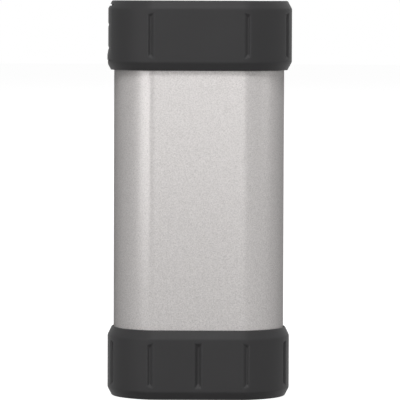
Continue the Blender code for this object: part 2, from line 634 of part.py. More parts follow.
def make_lid():
    """Plate on the top shell, with a raised panel that fills the bumper's rim."""
    panel = -BUMPER_RIM_WIDTH
    lid = swept("top_lid", [(0, LID_BOTTOM), (0, LID_TOP), (panel, LID_TOP),
                            (panel, CASE_HEIGHT - LID_PANEL_SINK)], "black_plastic", closed=False)
    x = -(CASE_WIDTH / 2 - ANCHOR_PEG_INSET)
    cut(lid, rod("peg_bore", (x, 0, LID_BOTTOM - CUT_OVERRUN), (x, 0, LID_TOP + CUT_OVERRUN),
                 ANCHOR_PEG_RADIUS + FIT_GAP, steps=SMALL_ROUND_STEPS))


def make_case_screws():
    """Four long screws at each end, their heads inside the end shells."""
    outline = screw_profile(SCREW_RADIUS, SCREW_HEAD_RADIUS, SCREW_HEAD_HEIGHT, SCREW_LENGTH)
    for end, seat, turn in (("top", SHELL_FLOOR_TOP + FIT_GAP, 0),
                            ("bottom", BUMPER_FLOOR + FIT_GAP * 2 + SCREW_HEAD_HEIGHT, math.pi)):
        for at, (x, y) in enumerate(corners_of(CHANNEL_X, CHANNEL_Y), start=1):
            screw = turned(f"{end}_screw_{at}", outline, "screw_steel", (x, y, seat), steps=SMALL_ROUND_STEPS)
            screw.rotation_euler = (turn, 0, 0)


def screw_profile(radius, head_radius, head_height, length):
    """Half outline of a pan-head screw with a round drive recess, its head above height zero."""
    tip = radius / 2
    return [(0, -length), (tip, -length), (radius, -length + radius), (radius, 0), (head_radius, 0),
            (head_radius, head_height / 2), (head_radius - head_height / 2, head_height),
            (DRIVE_RADIUS, head_height), (DRIVE_RADIUS, head_height - DRIVE_DEPTH),
            (0, head_height - DRIVE_DEPTH)]


def board_screw_places():
    """The two posts that take a board screw, one in front and one behind."""
    return [(POST_X, -POST_Y), (-POST_X, POST_Y)]


def make_board():
    """Board across the top shell, cut back for the button and the light guide, with its screws."""
    board = swept("main_board", [(-BOARD_INSET, BOARD_BOTTOM), (-BOARD_INSET, BOARD_TOP)], "board_green",
                  closed=False)
    low = BOARD_BOTTOM - CUT_OVERRUN
    high = BOARD_TOP + CUT_OVERRUN
    rear = box("board_rear_cut", (-POST_X, BOARD_REAR_Y, low),
               (GROOVE_PITCH, REAR_Y, high))
    half = SWITCH_WIDTH / 2 + FIT_GAP
    notch = box("switch_notch", (BUTTON_X - half, switch_front() - SWITCH_DEPTH - FIT_GAP, low),
                (BUTTON_X + half, REAR_Y, high))
    cut(board, rear, notch)
    for at, (x, y) in enumerate(board_screw_places(), start=1):
        cut(board, rod(f"board_bore_{at}", (x, y, low), (x, y, high), BOARD_SCREW_RADIUS + FIT_GAP,
                       steps=SMALL_ROUND_STEPS))
        length = BOARD_SCREW_LENGTH - FIT_GAP
        turned(f"board_screw_{at}", screw_profile(BOARD_SCREW_RADIUS, BOARD_SCREW_HEAD_RADIUS,
                                                  BOARD_SCREW_HEAD_HEIGHT, length), "screw_steel",
               (x, y, BOARD_TOP + FIT_GAP), steps=SMALL_ROUND_STEPS)


def make_board_parts():
    """Chips, inductor and capacitors on the board's upper side."""
    low = BOARD_TOP + FIT_GAP
    for name, x, y, size in (("power_chip", POWER_CHIP_X, POWER_CHIP_Y, POWER_CHIP_SIZE),
                             ("charger_chip", CHARGER_CHIP_X, CHARGER_CHIP_Y, CHARGER_CHIP_SIZE)):
        half = size / 2
        box(name, (x - half, y - half, low), (x + half, y + half, low + CHIP_HEIGHT), "chip_black")
    rod("inductor", (INDUCTOR_X, INDUCTOR_Y, low), (INDUCTOR_X, INDUCTOR_Y, low + INDUCTOR_HEIGHT),
        INDUCTOR_RADIUS, "ferrite")
    for at, y in enumerate((CAPACITOR_Y, CAPACITOR_Y + CAPACITOR_RADIUS * 2 + FIT_GAP), start=1):
        rod(f"capacitor_{at}", (CAPACITOR_X, y, low), (CAPACITOR_X, y, low + CAPACITOR_HEIGHT),
            CAPACITOR_RADIUS, "capacitor_can", steps=SMALL_ROUND_STEPS)


def socket_front(width):
    """X of a socket's mouth, just inside the shell's curved wall."""
    return -(side_reach(-SHELL_WALL, width / 2) - FIT_GAP)


def make_socket(name, low, width, height, length, corner):
    """Steel socket shell, open to the left, with a closed back."""
    front = socket_front(width)
    shell = box(name, (front, -width / 2, low), (front + length, width / 2, low + height), "socket_steel")
    half = width / 2 - USB_WALL
    hollow = box(f"{name}_hollow", (front - CUT_OVERRUN, -half, low + USB_WALL),
                 (front + length - USB_WALL, half, low + height - USB_WALL))
    for item, radius in ((shell, corner), (hollow, corner - USB_WALL)):
        if corner:
            round_edges_along_x(item, radius)
    cut(shell, hollow)


def round_edges_along_x(item, radius):
    """Round a box's four edges that run along X."""
    bm = bmesh.new()
    bm.from_mesh(item.data)
    edges = [edge for edge in bm.edges if abs(edge.verts[0].co.x - edge.verts[1].co.x) > radius]
    bmesh.ops.bevel(bm, geom=edges, offset=radius, segments=CORNER_STEPS, affect="EDGES", profile=0.5)
    bm.to_mesh(item.data)
    bm.free()


def make_sockets():
    """The two sockets behind the port cover, one under the board and one on it, and their tongues."""
    make_socket("usb_a_socket", USB_A_BOTTOM, USB_A_WIDTH, USB_A_HEIGHT, USB_A_LENGTH, 0)
    make_socket("usb_c_socket", USB_C_BOTTOM, USB_C_WIDTH, USB_C_HEIGHT, USB_C_LENGTH, USB_C_CORNER)
    front = socket_front(USB_A_WIDTH)
    top = USB_A_BOTTOM + USB_A_HEIGHT - USB_WALL - FIT_GAP
    box("usb_a_tongue", (front + USB_A_TONGUE_SETBACK, -USB_A_TONGUE_WIDTH / 2, top - USB_A_TONGUE_THICKNESS),
        (front + USB_A_LENGTH - USB_WALL - FIT_GAP, USB_A_TONGUE_WIDTH / 2, top), "chip_black")
    front = socket_front(USB_C_WIDTH)
    low = USB_C_BOTTOM + (USB_C_HEIGHT - USB_C_TONGUE_THICKNESS) / 2
    half = USB_C_TONGUE_WIDTH / 2
    box("usb_c_tongue", (front + USB_C_TONGUE_SETBACK, -half, low),
        (front + USB_C_LENGTH - USB_WALL - FIT_GAP, half, low + USB_C_TONGUE_THICKNESS), "chip_black")


def plug_pad(name, low, width, height, reach):
    """Pad behind the cover that fills a socket's window, drawn in towards its free end."""
    root = -(CASE_WIDTH / 2 - SHELL_WALL / 2)
    half_width = width / 2 - PORT_WINDOW_LIP - PLUG_PAD_SHRINK
    bottom = low + PORT_WINDOW_LIP + PLUG_PAD_SHRINK
    top = low + height - PORT_WINDOW_LIP - PLUG_PAD_SHRINK
    outer = -(side_reach(FIT_GAP * 2, half_width))
    bm = bmesh.new()
    bmesh.ops.create_cube(bm, size=1)
    for vert in bm.verts:
        inside = vert.co.x > 0
        draw = PLUG_PAD_TAPER if inside else 0
        x = reach if inside else outer
        y = math.copysign(half_width - draw / 2, vert.co.y)
        z = top if vert.co.z > 0 else bottom + draw
        vert.co = (x - root, y, z)
    return add_object(name, bm, None, (root, 0, 0))


def cover_outside(height):
    """How far the cover and its tail stand out at a height within the bumper's top bevel."""
    return top_bumper_outside(height) - TOP_BUMPER_PROUD + COVER_PROUD


def make_port_cover():
    """Rubber flap over the sockets, hinged at the notch above it, with two cross grooves and a lip."""
    low = TOP_BUMPER_LOW + BEVEL_HEIGHT + COVER_BOTTOM_MARGIN
    top = HINGE_Z - COVER_NOTCH_HALF
    band_top = CASE_HEIGHT - BEVEL_HEIGHT
    upper = CASE_HEIGHT - COVER_UPPER_GROOVE_DROP
    lower = CASE_HEIGHT - COVER_LOWER_GROOVE_DROP
    sink = COVER_PROUD - COVER_GROOVE_DEPTH
    outline = [(FIT_GAP, low), (FIT_GAP, top), (cover_outside(top), top), (COVER_PROUD, band_top)]
    for groove in (upper, lower):
        outline += [(COVER_PROUD, groove + COVER_GROOVE_HALF), (sink, groove),
                    (COVER_PROUD, groove - COVER_GROOVE_HALF)]
    outline += [(COVER_LIP_PROUD, low + COVER_LIP_HEIGHT / 2), (COVER_LIP_PROUD, low)]
    flap = swept("port_cover", outline, "black_rubber")
    outer = CASE_WIDTH / 2 + TOP_BUMPER_PROUD + CUT_OVERRUN
    keep_inside(flap, box("cover_outline", (-outer, -COVER_WIDTH / 2, low - CUT_OVERRUN),
                          (0, COVER_WIDTH / 2, CASE_HEIGHT)))
    join(flap, plug_pad("usb_a_pad", USB_A_BOTTOM, USB_A_WIDTH, USB_A_HEIGHT,
                        socket_front(USB_A_WIDTH) + PLUG_PAD_REACH),
         plug_pad("usb_c_pad", USB_C_BOTTOM, USB_C_WIDTH, USB_C_HEIGHT, socket_front(USB_C_WIDTH) - FIT_GAP))
    hang_on(flap, "port_cover_hinge", (HINGE_X, 0, HINGE_Z))


def hang_on(item, name, place):
    """Give a moving piece an empty on its joint's axis and its own origin there."""
    pivot = bpy.data.objects.new(name, None)
    pivot.location = place
    bpy.context.collection.objects.link(pivot)
    shift = Vector(place) - item.location
    for vert in item.data.vertices:
        vert.co -= shift
    item.location = (0, 0, 0)
    item.parent = pivot


def make_anchor():
    """Fixed end of the flap: a tail in the bumper's rim, with a peg in the lid."""
    low = CASE_HEIGHT - BUMPER_RIM_THICKNESS
    notch = HINGE_Z + COVER_NOTCH_HALF
    top = CASE_HEIGHT - ANCHOR_SINK
    inner = FIT_GAP - BUMPER_RIM_WIDTH
    outline = [(FIT_GAP, notch), (cover_outside(notch), notch), (cover_outside(top), top), (inner, top),
               (inner, low), (-FIT_GAP, low)]
    tail = swept("port_cover_anchor", outline, "black_rubber")
    keep_inside(tail, box("anchor_outline", (-CASE_WIDTH, -ANCHOR_WIDTH / 2, low - CUT_OVERRUN),
                          (0, ANCHOR_WIDTH / 2, CASE_HEIGHT)))
    x = -(CASE_WIDTH / 2 - ANCHOR_PEG_INSET)
    join(tail, rod("anchor_peg", (x, 0, low - ANCHOR_PEG_LENGTH), (x, 0, low + BUMPER_RIM_THICKNESS / 2),
                   ANCHOR_PEG_RADIUS, steps=SMALL_ROUND_STEPS))


def switch_front():
    """Y of the switch body's face."""
    return BUTTON_BACK - FIT_GAP - PLUNGER_PROUD


def make_button():
    """Button on a spring return, its trim ring, the switch behind it and the switch's plunger."""
    face = REAR_Y + TOP_BUMPER_PROUD - BUTTON_FACE_SINK - BUTTON_BACK
    outline = [(0, 0), (BUTTON_FLANGE_RADIUS, 0), (BUTTON_FLANGE_RADIUS, BUTTON_FLANGE_THICKNESS),
               (BUTTON_RADIUS, BUTTON_FLANGE_THICKNESS), (BUTTON_RADIUS, face - BUTTON_EDGE),
               (BUTTON_RADIUS - BUTTON_EDGE, face), (0, face)]
    button = turned("power_button", outline, "button_plastic", (0, 0, 0), axis="Y")
    pivot = bpy.data.objects.new("power_button_slide", None)
    pivot.location = (BUTTON_X, BUTTON_BACK, BUTTON_Z)
    bpy.context.collection.objects.link(pivot)
    button.parent = pivot
    seat = REAR_Y + FIT_GAP
    front = REAR_Y + TOP_BUMPER_PROUD - TRIM_SINK - seat
    hole = BUTTON_RADIUS + FIT_GAP
    turned("button_trim", [(hole, 0), (TRIM_RADIUS, 0), (TRIM_RADIUS, front - BUTTON_EDGE / 2),
                           (TRIM_RADIUS - BUTTON_EDGE / 2, front), (hole + BUTTON_EDGE, front),
                           (hole, front - BUTTON_EDGE)], "trim_plastic", (BUTTON_X, seat, BUTTON_Z), axis="Y")
    near = switch_front()
    half = SWITCH_WIDTH / 2
    body = box("tact_switch", (BUTTON_X - half, near - SWITCH_DEPTH, BUTTON_Z - SWITCH_HEIGHT / 2),
               (BUTTON_X + half, near, BUTTON_Z + SWITCH_HEIGHT / 2), "chip_black")
    slot_x = PLUNGER_WIDTH / 2 + FIT_GAP
    slot_z = PLUNGER_HEIGHT / 2 + FIT_GAP
    bottom = near - PLUNGER_HIDDEN - BUTTON_TRAVEL - FIT_GAP
    cut(body, box("plunger_slot", (BUTTON_X - slot_x, bottom, BUTTON_Z - slot_z),
                  (BUTTON_X + slot_x, near + CUT_OVERRUN, BUTTON_Z + slot_z)))
    box("tact_plunger", (BUTTON_X - PLUNGER_WIDTH / 2, near - PLUNGER_HIDDEN, BUTTON_Z - PLUNGER_HEIGHT / 2),
        (BUTTON_X + PLUNGER_WIDTH / 2, near + PLUNGER_PROUD, BUTTON_Z + PLUNGER_HEIGHT / 2), "button_plastic")


def make_lights():
    """Clear light guide with a pin for each light, and the lamps on the board's rear edge."""
    places = light_places()
    near = INNER_Y - FIT_GAP - LIGHT_BAR_THICKNESS
    low = BUTTON_Z - LIGHT_BAR_HEIGHT / 2
    guide = box("light_guide", (places[0] - LIGHT_BAR_MARGIN, near, low),
                (places[-1] + LIGHT_BAR_MARGIN, INNER_Y - FIT_GAP, low + LIGHT_BAR_HEIGHT), "clear_plastic")
    tip = REAR_Y + TOP_BUMPER_PROUD - LIGHT_SINK
    lamp_y = BOARD_REAR_Y - FIT_GAP
    lamp_z = BOARD_TOP + FIT_GAP
    for at, x in enumerate(places, start=1):
        join(guide, rod(f"light_pin_{at}", (x, near + LIGHT_BAR_THICKNESS / 2, BUTTON_Z), (x, tip, BUTTON_Z),
                        LIGHT_RADIUS, steps=SMALL_ROUND_STEPS))
        box(f"indicator_led_{at}", (x - LED_WIDTH / 2, lamp_y - LED_DEPTH, lamp_z),
            (x + LED_WIDTH / 2, lamp_y, lamp_z + LED_HEIGHT), "led_white")


def make_cells():
    """Two cells side by side, with rounded shoulders."""
    for name, x in (("cell_left", -CELL_X), ("cell_right", CELL_X)):
        inner = CELL_RADIUS - CELL_EDGE
        turned(name, [(0, 0), (inner, 0), (CELL_RADIUS, CELL_EDGE), (CELL_RADIUS, CELL_LENGTH - CELL_EDGE),
                      (inner, CELL_LENGTH), (0, CELL_LENGTH)], "cell_wrap", (x, 0, CELL_BOTTOM))


def make_holder(name, low, high, pocket_low, pocket_high):
    """Block that fills the tube round the cells' ends, with a pocket for each cell."""
    inset = -TUBE_WALL - FIT_GAP
    block = swept(name, [(inset, low), (inset, high)], "holder_plastic", closed=False)
    cut(block, *screw_bores(f"{name}_channel", low - CUT_OVERRUN, high + CUT_OVERRUN,
                            CHANNEL_RADIUS + FIT_GAP))
    pockets = [rod(f"{name}_pocket_{side}", (x, 0, pocket_low), (x, 0, pocket_high), CELL_RADIUS + FIT_GAP)
               for side, x in (("left", -CELL_X), ("right", CELL_X))]
    bridge = box(f"{name}_bridge", (-CELL_X, -TAB_WIDTH / 2 - FIT_GAP, pocket_low),
                 (CELL_X, TAB_WIDTH / 2 + FIT_GAP, pocket_high))
    return cut(block, *pockets, bridge)


def make_holders():
    """Lower and upper cell holders; the upper one lets the wires through."""
    seat = BASE_PLUG_TOP + FIT_GAP
    make_holder("cell_holder_lower", seat, CELL_BOTTOM + HOLDER_DEPTH, seat + HOLDER_FLOOR,
                CELL_BOTTOM + HOLDER_DEPTH + CUT_OVERRUN)
    low = CELL_TOP - HOLDER_DEPTH
    upper = make_holder("cell_holder_upper", low, HOLDER_TOP, low - CUT_OVERRUN,
                        CELL_TOP + TAB_THICKNESS + FIT_GAP * 2)
    past = HOLDER_TOP + CUT_OVERRUN
    for name, x in (("left", -WIRE_X), ("right", WIRE_X)):
        cut(upper, rod(f"wire_way_{name}", (x, 0, CELL_TOP), (x, 0, past), HOLDER_WIRE_RADIUS,
                       steps=SMALL_ROUND_STEPS))
    for name, side in (("front", -1), ("rear", 1)):
        ends = sorted((side * (INNER_Y + CUT_OVERRUN), side * (INNER_Y - SLOT_DEPTH)))
        cut(upper, box(f"heater_wire_slot_{name}", (WIRE_X - SLOT_WIDTH / 2, ends[0], low - CUT_OVERRUN),
                       (WIRE_X + SLOT_WIDTH / 2, ends[1], past)))


def make_tabs():
    """Nickel tabs: one joins the cells below, and each cell has its own above."""
    low = CELL_BOTTOM - FIT_GAP - TAB_THICKNESS
    half = TAB_WIDTH / 2
    reach = CELL_X + half
    box("cell_tab_lower", (-reach, -half, low), (reach, half, low + TAB_THICKNESS), "nickel")
    low = CELL_TOP + FIT_GAP
    for name, start, end in (("cell_tab_upper_left", -reach, -TAB_FROM_MIDDLE),
                             ("cell_tab_upper_right", TAB_FROM_MIDDLE, reach)):
        box(name, (start, -half, low), (end, half, low + TAB_THICKNESS), "nickel")


def make_heaters():
    """Film heater on each flat wall, with a foam pad that presses it there, and the thermistor."""
    wall = INNER_Y - FIT_GAP
    film = wall - HEATER_THICKNESS
    pad = film - FIT_GAP
    half = SHOULDER_X - HEATER_MARGIN
    for name, side in (("front", -1), ("rear", 1)):
        for piece, outer, near, reach, look in (
                (f"heater_{name}", wall, film, half, "heater_film"),
                (f"foam_{name}", pad, pad - FOAM_THICKNESS, half - FOAM_MARGIN, "foam_grey")):
            ends = sorted((side * outer, side * near))
            box(piece, (-reach, ends[0], HEATER_BOTTOM), (reach, ends[1], HEATER_TOP), look)
    y = -(CELL_RADIUS - THERMISTOR_RADIUS)
    middle = (HEATER_BOTTOM + HEATER_TOP) / 2
    rod("thermistor", (0, y, middle - THERMISTOR_HEIGHT / 2), (0, y, middle + THERMISTOR_HEIGHT / 2),
        THERMISTOR_RADIUS, "wire_black", steps=SMALL_ROUND_STEPS)


def smooth_route(route):
    """Points at even steps on a smooth curve through the route's own points."""
    points = [Vector(point) for point in route]
    padded = [points[0] * 2 - points[1]] + points + [points[-1] * 2 - points[-2]]
    smooth = []
    for at in range(1, len(padded) - 2):
        before, start, end, after = padded[at - 1:at + 3]
        steps = max(1, round((end - start).length / WIRE_STEP))
        for step in range(steps):
            share = step / steps
            smooth.append((start * 2 + (end - before) * share
                           + (before * 2 - start * 5 + end * 4 - after) * share ** 2
                           + (start * 3 - before - end * 3 + after) * share ** 3) / 2)
    return smooth + [points[-1]]


def make_wire(name, route, radius, look):
    """Insulated wire along a route."""
    curve = bpy.data.curves.new(name, "CURVE")
    curve.dimensions = "3D"
    curve.bevel_depth = radius
    curve.bevel_resolution = 2
    curve.use_fill_caps = True
    points = smooth_route(route)
    spline = curve.splines.new("POLY")
    spline.points.add(len(points) - 1)
    for point, place in zip(spline.points, points):
        point.co = (*place, 1)
    curve.materials.append(finish(look))
    made = bpy.data.objects.new(name, curve)
    bpy.context.collection.objects.link(made)


def make_wires():
    """Wires from the cells and heaters, through the floor's wire hole, to the board's underside."""
    under_board = BOARD_BOTTOM - FIT_GAP
    tab_top = CELL_TOP + FIT_GAP * 2 + TAB_THICKNESS
    bend = (TOP_PLUG_BOTTOM + SHELL_BOTTOM) / 2
    pitch = WIRE_HOLE_WIDTH / 5
    ends = [WIRE_HOLE_X + pitch * (at - 3 / 2) for at in range(4)]
    for name, x, end, look in (("battery_wire_negative", -WIRE_X, ends[0], "wire_black"),
                               ("battery_wire_positive", WIRE_X, ends[1], "wire_red")):
        make_wire(name, [(x, 0, tab_top), (x, 0, HOLDER_TOP), ((x + end) / 2, 0, bend),
                         (end, 0, SHELL_FLOOR_TOP), (end, 0, under_board)], BATTERY_WIRE_RADIUS, look)
    for name, side, end in (("heater_wire_front", -1, ends[2]), ("heater_wire_rear", 1, ends[3])):
        start_y = side * (INNER_Y - SLOT_DEPTH / 2)
        plug_y = side * (INNER_Y - PLUG_WALL - FIT_GAP * 2 - HEATER_WIRE_RADIUS)
        hole_y = side * WIRE_HOLE_DEPTH / 6
        make_wire(name, [(WIRE_X, start_y, HEATER_TOP + FIT_GAP), (WIRE_X, start_y, CELL_TOP),
                         (WIRE_X, plug_y, HOLDER_TOP), ((WIRE_X + end) / 2, start_y / 2, bend),
                         (end, hole_y, SHELL_FLOOR_TOP), (end, hole_y, under_board)],
                  HEATER_WIRE_RADIUS, "wire_white")


def main():
    """Build the whole hand warmer."""
    clear_scene()
    make_tube()
    make_bottom_bumper()
    make_top_bumper()
    make_gasket("bottom_gasket", TUBE_BOTTOM - FIT_GAP - GASKET_THICKNESS)
    make_gasket("top_gasket", TUBE_TOP + FIT_GAP)
    make_bottom_shell()
    make_top_shell()
    make_lid()
    make_case_screws()
    make_board()
    make_board_parts()
    make_sockets()
    make_port_cover()
    make_anchor()
    make_button()
    make_lights()
    make_cells()
    make_holders()
    make_tabs()
    make_heaters()
    make_wires()


main()
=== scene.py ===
import json
import math

import bmesh
import bpy
import numpy as np
from mathutils import Euler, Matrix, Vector


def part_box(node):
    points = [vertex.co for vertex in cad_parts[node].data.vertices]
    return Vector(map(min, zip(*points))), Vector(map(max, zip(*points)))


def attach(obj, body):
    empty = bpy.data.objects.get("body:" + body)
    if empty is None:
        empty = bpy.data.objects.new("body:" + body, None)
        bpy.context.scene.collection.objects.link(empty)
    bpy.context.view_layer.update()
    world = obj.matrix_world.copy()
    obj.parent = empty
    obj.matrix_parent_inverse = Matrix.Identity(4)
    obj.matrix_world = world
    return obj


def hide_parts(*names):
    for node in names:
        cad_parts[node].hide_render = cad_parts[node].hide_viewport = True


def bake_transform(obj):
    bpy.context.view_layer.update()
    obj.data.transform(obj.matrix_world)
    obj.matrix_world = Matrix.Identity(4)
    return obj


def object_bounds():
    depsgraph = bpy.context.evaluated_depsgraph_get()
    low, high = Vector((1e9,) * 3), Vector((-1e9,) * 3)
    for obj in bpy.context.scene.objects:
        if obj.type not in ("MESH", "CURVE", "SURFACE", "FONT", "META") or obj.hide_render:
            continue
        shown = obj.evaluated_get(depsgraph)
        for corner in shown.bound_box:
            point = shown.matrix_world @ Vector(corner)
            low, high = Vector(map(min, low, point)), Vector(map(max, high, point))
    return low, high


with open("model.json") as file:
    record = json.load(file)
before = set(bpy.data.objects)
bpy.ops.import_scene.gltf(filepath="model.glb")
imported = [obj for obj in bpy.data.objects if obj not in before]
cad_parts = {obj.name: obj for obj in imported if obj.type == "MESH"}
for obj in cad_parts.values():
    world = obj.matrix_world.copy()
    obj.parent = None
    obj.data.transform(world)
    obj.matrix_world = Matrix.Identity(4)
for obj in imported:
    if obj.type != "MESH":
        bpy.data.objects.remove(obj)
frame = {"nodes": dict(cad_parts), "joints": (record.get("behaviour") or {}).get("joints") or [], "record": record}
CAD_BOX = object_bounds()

bl_info = {
    "name": "Hand warmer looks",
    "version": (1, 0, 0),
    "blender": (4, 5, 0),
    "location": "3D View > Sidebar > Hand warmer",
    "description": "Finished shells, rubber, metal and studio for a pocket hand warmer",
    "category": "Object",
}

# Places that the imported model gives
TUBE_LOW, TUBE_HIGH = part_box("case_tube")
LOWER_LOW, LOWER_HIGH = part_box("bottom_bumper")
UPPER_LOW, UPPER_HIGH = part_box("top_bumper")
COVER_LOW, COVER_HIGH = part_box("port_cover")
ANCHOR_LOW, ANCHOR_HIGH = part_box("port_cover_anchor")
LID_LOW, LID_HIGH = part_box("top_lid")
BUTTON_LOW, BUTTON_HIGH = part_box("power_button")
TRIM_LOW, TRIM_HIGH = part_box("button_trim")
GUIDE_LOW, GUIDE_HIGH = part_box("light_guide")
FLOOR_LOW, FLOOR_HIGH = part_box("bottom_end_cap")
SCREW_LOW, SCREW_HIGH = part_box("top_screw_1")
BUTTON_X = (BUTTON_LOW.x + BUTTON_HIGH.x) / 2
BUTTON_Z = (BUTTON_LOW.z + BUTTON_HIGH.z) / 2
TRIM_RADIUS = (TRIM_HIGH.x - TRIM_LOW.x) / 2
HINGE = next(joint for joint in frame["joints"] if joint["name"] == "port_cover_hinge")["pos_m"]
CASE_WIDTH = TUBE_HIGH.x - TUBE_LOW.x
CASE_DEPTH = TUBE_HIGH.y - TUBE_LOW.y
CASE_HEIGHT = UPPER_HIGH.z
UPPER_PROUD = UPPER_HIGH.x - TUBE_HIGH.x
LOWER_PROUD = LOWER_HIGH.x - TUBE_HIGH.x
FIT_GAP = 0.0003

# Button and indicator lights
CAP_RADIUS = 0.0042
FLANGE_THICK = 0.0013
CAP_SOFT = 0.0004
DISH_RADIUS = 0.0034
DISH_DEPTH = 0.0003
TRIM_SOFT = 0.0002
LIGHT_COUNT = 4
LIGHT_MARGIN = 0.0012
LIGHT_RADIUS = 0.0009
LIGHT_BAR = 0.0016

# Case outline: flats front and back, round sides and a shoulder arc between them
SIDE_CROWN = 0.0010
SHOULDER_RADIUS = 0.0060
SIDE_RADIUS = CASE_DEPTH / 2 + SIDE_CROWN
SIDE_X = CASE_WIDTH / 2 - SIDE_RADIUS
SHOULDER_Y = CASE_DEPTH / 2 - SHOULDER_RADIUS
SHOULDER_ARM = SIDE_RADIUS - SHOULDER_RADIUS
SHOULDER_TURN = math.acos(SHOULDER_Y / SHOULDER_ARM)
SHOULDER_X = SIDE_X + SHOULDER_ARM * math.sin(SHOULDER_TURN)
SIDE_SWEEP = math.pi / 2 - SHOULDER_TURN
SIDE_LENGTH = SIDE_RADIUS * SIDE_SWEEP
SHOULDER_LENGTH = SHOULDER_RADIUS * SHOULDER_TURN
QUARTER_LENGTH = SIDE_LENGTH + SHOULDER_LENGTH + SHOULDER_X

# Shading of every piece: edges sharper than this stay hard, and bends of this radius count as a full edge
SHARP_ANGLE = math.radians(40)
EDGE_RADIUS = 0.0004


def length(name, description, default):
    """Setting for a length in metres."""
    return bpy.props.FloatProperty(name=name, description=description, default=default, unit="LENGTH")


def number(name, description, default):
    """Setting for a plain number."""
    return bpy.props.FloatProperty(name=name, description=description, default=default)


def tint(name, description, default):
    """Setting for a colour."""
    return bpy.props.FloatVectorProperty(
        name=name, description=description, default=default, subtype="COLOR", size=3, min=0, max=1)


class WarmerCaseSettings(bpy.types.PropertyGroup):
    """Sizes and colour of the metal tube and the plastic parts round it."""

    wall: length("Wall", "Thickness of the tube's wall", 0.0015)
    lip: length("Lip", "Rounding of the tube's cut ends", 0.0002)
    rim: length("Rim", "Width of the rubber rim that frames the lid", 0.0043)
    lid_plate: length("Lid plate", "Thickness of the lid under its raised panel", 0.0014)
    channel: length("Screw channel", "Radius of the four screw channels inside the tube", 0.0024)
    channel_bore: length("Channel bore", "Radius of a screw channel's hole", 0.00125)
    socket_wall: length("Socket wall", "Thickness of the sockets' steel", 0.0004)
    silver: tint("Silver", "Colour of the tube's fine metallic coat", (0.623, 0.599, 0.59))
    plastic: tint("Plastic", "Colour of the moulded end parts", (0.022, 0.022, 0.024))


class WarmerRubberSettings(bpy.types.PropertyGroup):
    """Sizes and colour of the rubber bumpers and the port cover."""

    bevel_height: length("Bevel height", "Height of the slope at a bumper's edge", 0.0024)
    bevel_inset: length("Bevel inset", "How far that slope comes in", 0.0013)
    upper_lip: length("Upper lip", "Thickness of the upper bumper's edge on the tube", 0.0007)
    lower_lip: length("Lower lip", "Thickness of the lower bumper's edge on the tube", 0.0003)
    lip_reach: length("Lip reach", "How far the thin edges run on along the tube", 0.00014)
    softness: length("Softness", "Rounding of the moulded edges", 0.00035)
    groove_width: length("Groove width", "Width of an upright groove at its mouth", 0.0021)
    groove_floor: length("Groove floor", "Width of a groove's floor", 0.0003)
    groove_depth: length("Groove depth", "Depth of an upright groove", 0.00085)
    groove_tip: length("Groove tip", "Length of the slope at a groove's ends", 0.0012)
    groove_margin: length("Groove margin", "Plain band above and below a groove", 0.0012)
    past_shoulder: length("Past shoulder", "Distance of the outer grooves from the case's shoulder", 0.0018)
    side_angle: bpy.props.FloatProperty(
        name="Side angle", description="Turn of the side grooves from the middle of the side",
        default=math.radians(22), subtype="ANGLE")
    flap_proud: length("Flap proud", "How far the flap stands out from the tube", 0.0018)
    flap_grooves: bpy.props.FloatVectorProperty(
        name="Flap grooves", description="Depths of the flap's two cross grooves below the top", size=2,
        default=(0.0073, 0.0142), unit="LENGTH")
    flap_groove_half: length("Flap groove half", "Half the width of a cross groove", 0.0006)
    flap_groove_depth: length("Flap groove depth", "Depth of a cross groove", 0.00022)
    flap_drop: length("Flap drop", "How far the soft lip hangs below the flap's solid", 0.0004)
    flap_gap: length("Flap gap", "Gap that shows under the closed flap", 0.00006)
    facet: length("Facet", "How far the bumper stands out in the flat below the flap", 0.0018)
    flap_lip: length("Flap lip", "Height of the flared pull lip's full part", 0.0015)
    notch_half: length("Notch half", "Half the height of the notch at the flap's hinge", 0.00025)
    web: length("Web", "Thickness of the thin web that the flap bends on", 0.0003)
    web_sink: length("Web sink", "How deep the web lies under the flap's outside", 0.0003)
    pad_inset: length("Pad inset", "How much smaller than its socket a plug pad is, on each side", 0.0009)
    pad_draw: length("Pad draw", "How far a plug pad draws in towards its free end", 0.0008)
    pad_reach: length("Pad reach", "How far the larger plug pad goes into its socket", 0.0006)
    peg: length("Peg", "Radius of the peg that holds the flap's tail in the lid", 0.0012)
    peg_inset: length("Peg inset", "Distance of the peg from the case's side", 0.0028)
    foot_recess: length("Foot recess", "Depth of the plain field moulded under the foot", 0.0004)
    foot_border: length("Foot border", "Width of the foot's flat border round that field", 0.0045)
    black: tint("Black", "Colour of the rubber", (0.0415, 0.0408, 0.0418))


class WarmerStudioSettings(bpy.types.PropertyGroup):
    """Light, camera and ground."""

    key_power: number("Key power", "Power of the large lamp in front, in watts", 44.0)
    top_power: number("Top power", "Power of the lamp above the front, in watts", 31.0)
    strip_power: number(
        "Strip power", "Power of the lamp in the left shoulder's highlight, in watts", 10.0)
    edge_power: number("Edge power", "Power of the lamp level with the right side, in watts", 1.0)
    rear_power: number("Rear power", "Power of the large lamp behind, in watts", 60.0)
    ambient: number("Ambient", "Strength of the even light all round", 0.015)
    ground_tone: number("Ground tone", "Grey of the ground, which bounces light back up", 0.2)
    ground_lift: number("Ground lift", "What the camera sees added to the ground", 0.975)
    camera_distance: length("Camera distance", "From the camera to the middle of the case", 1.195)
    camera_height: length("Camera height", "Height of the camera above the ground", 0.1188)
    camera_roll: number("Camera roll", "Turn of the camera about its own axis, in degrees", -0.2)
    lens: number("Lens", "Focal length of the camera in millimetres", 360.0)


# Shapes: every piece is a grid of points, rows by columns

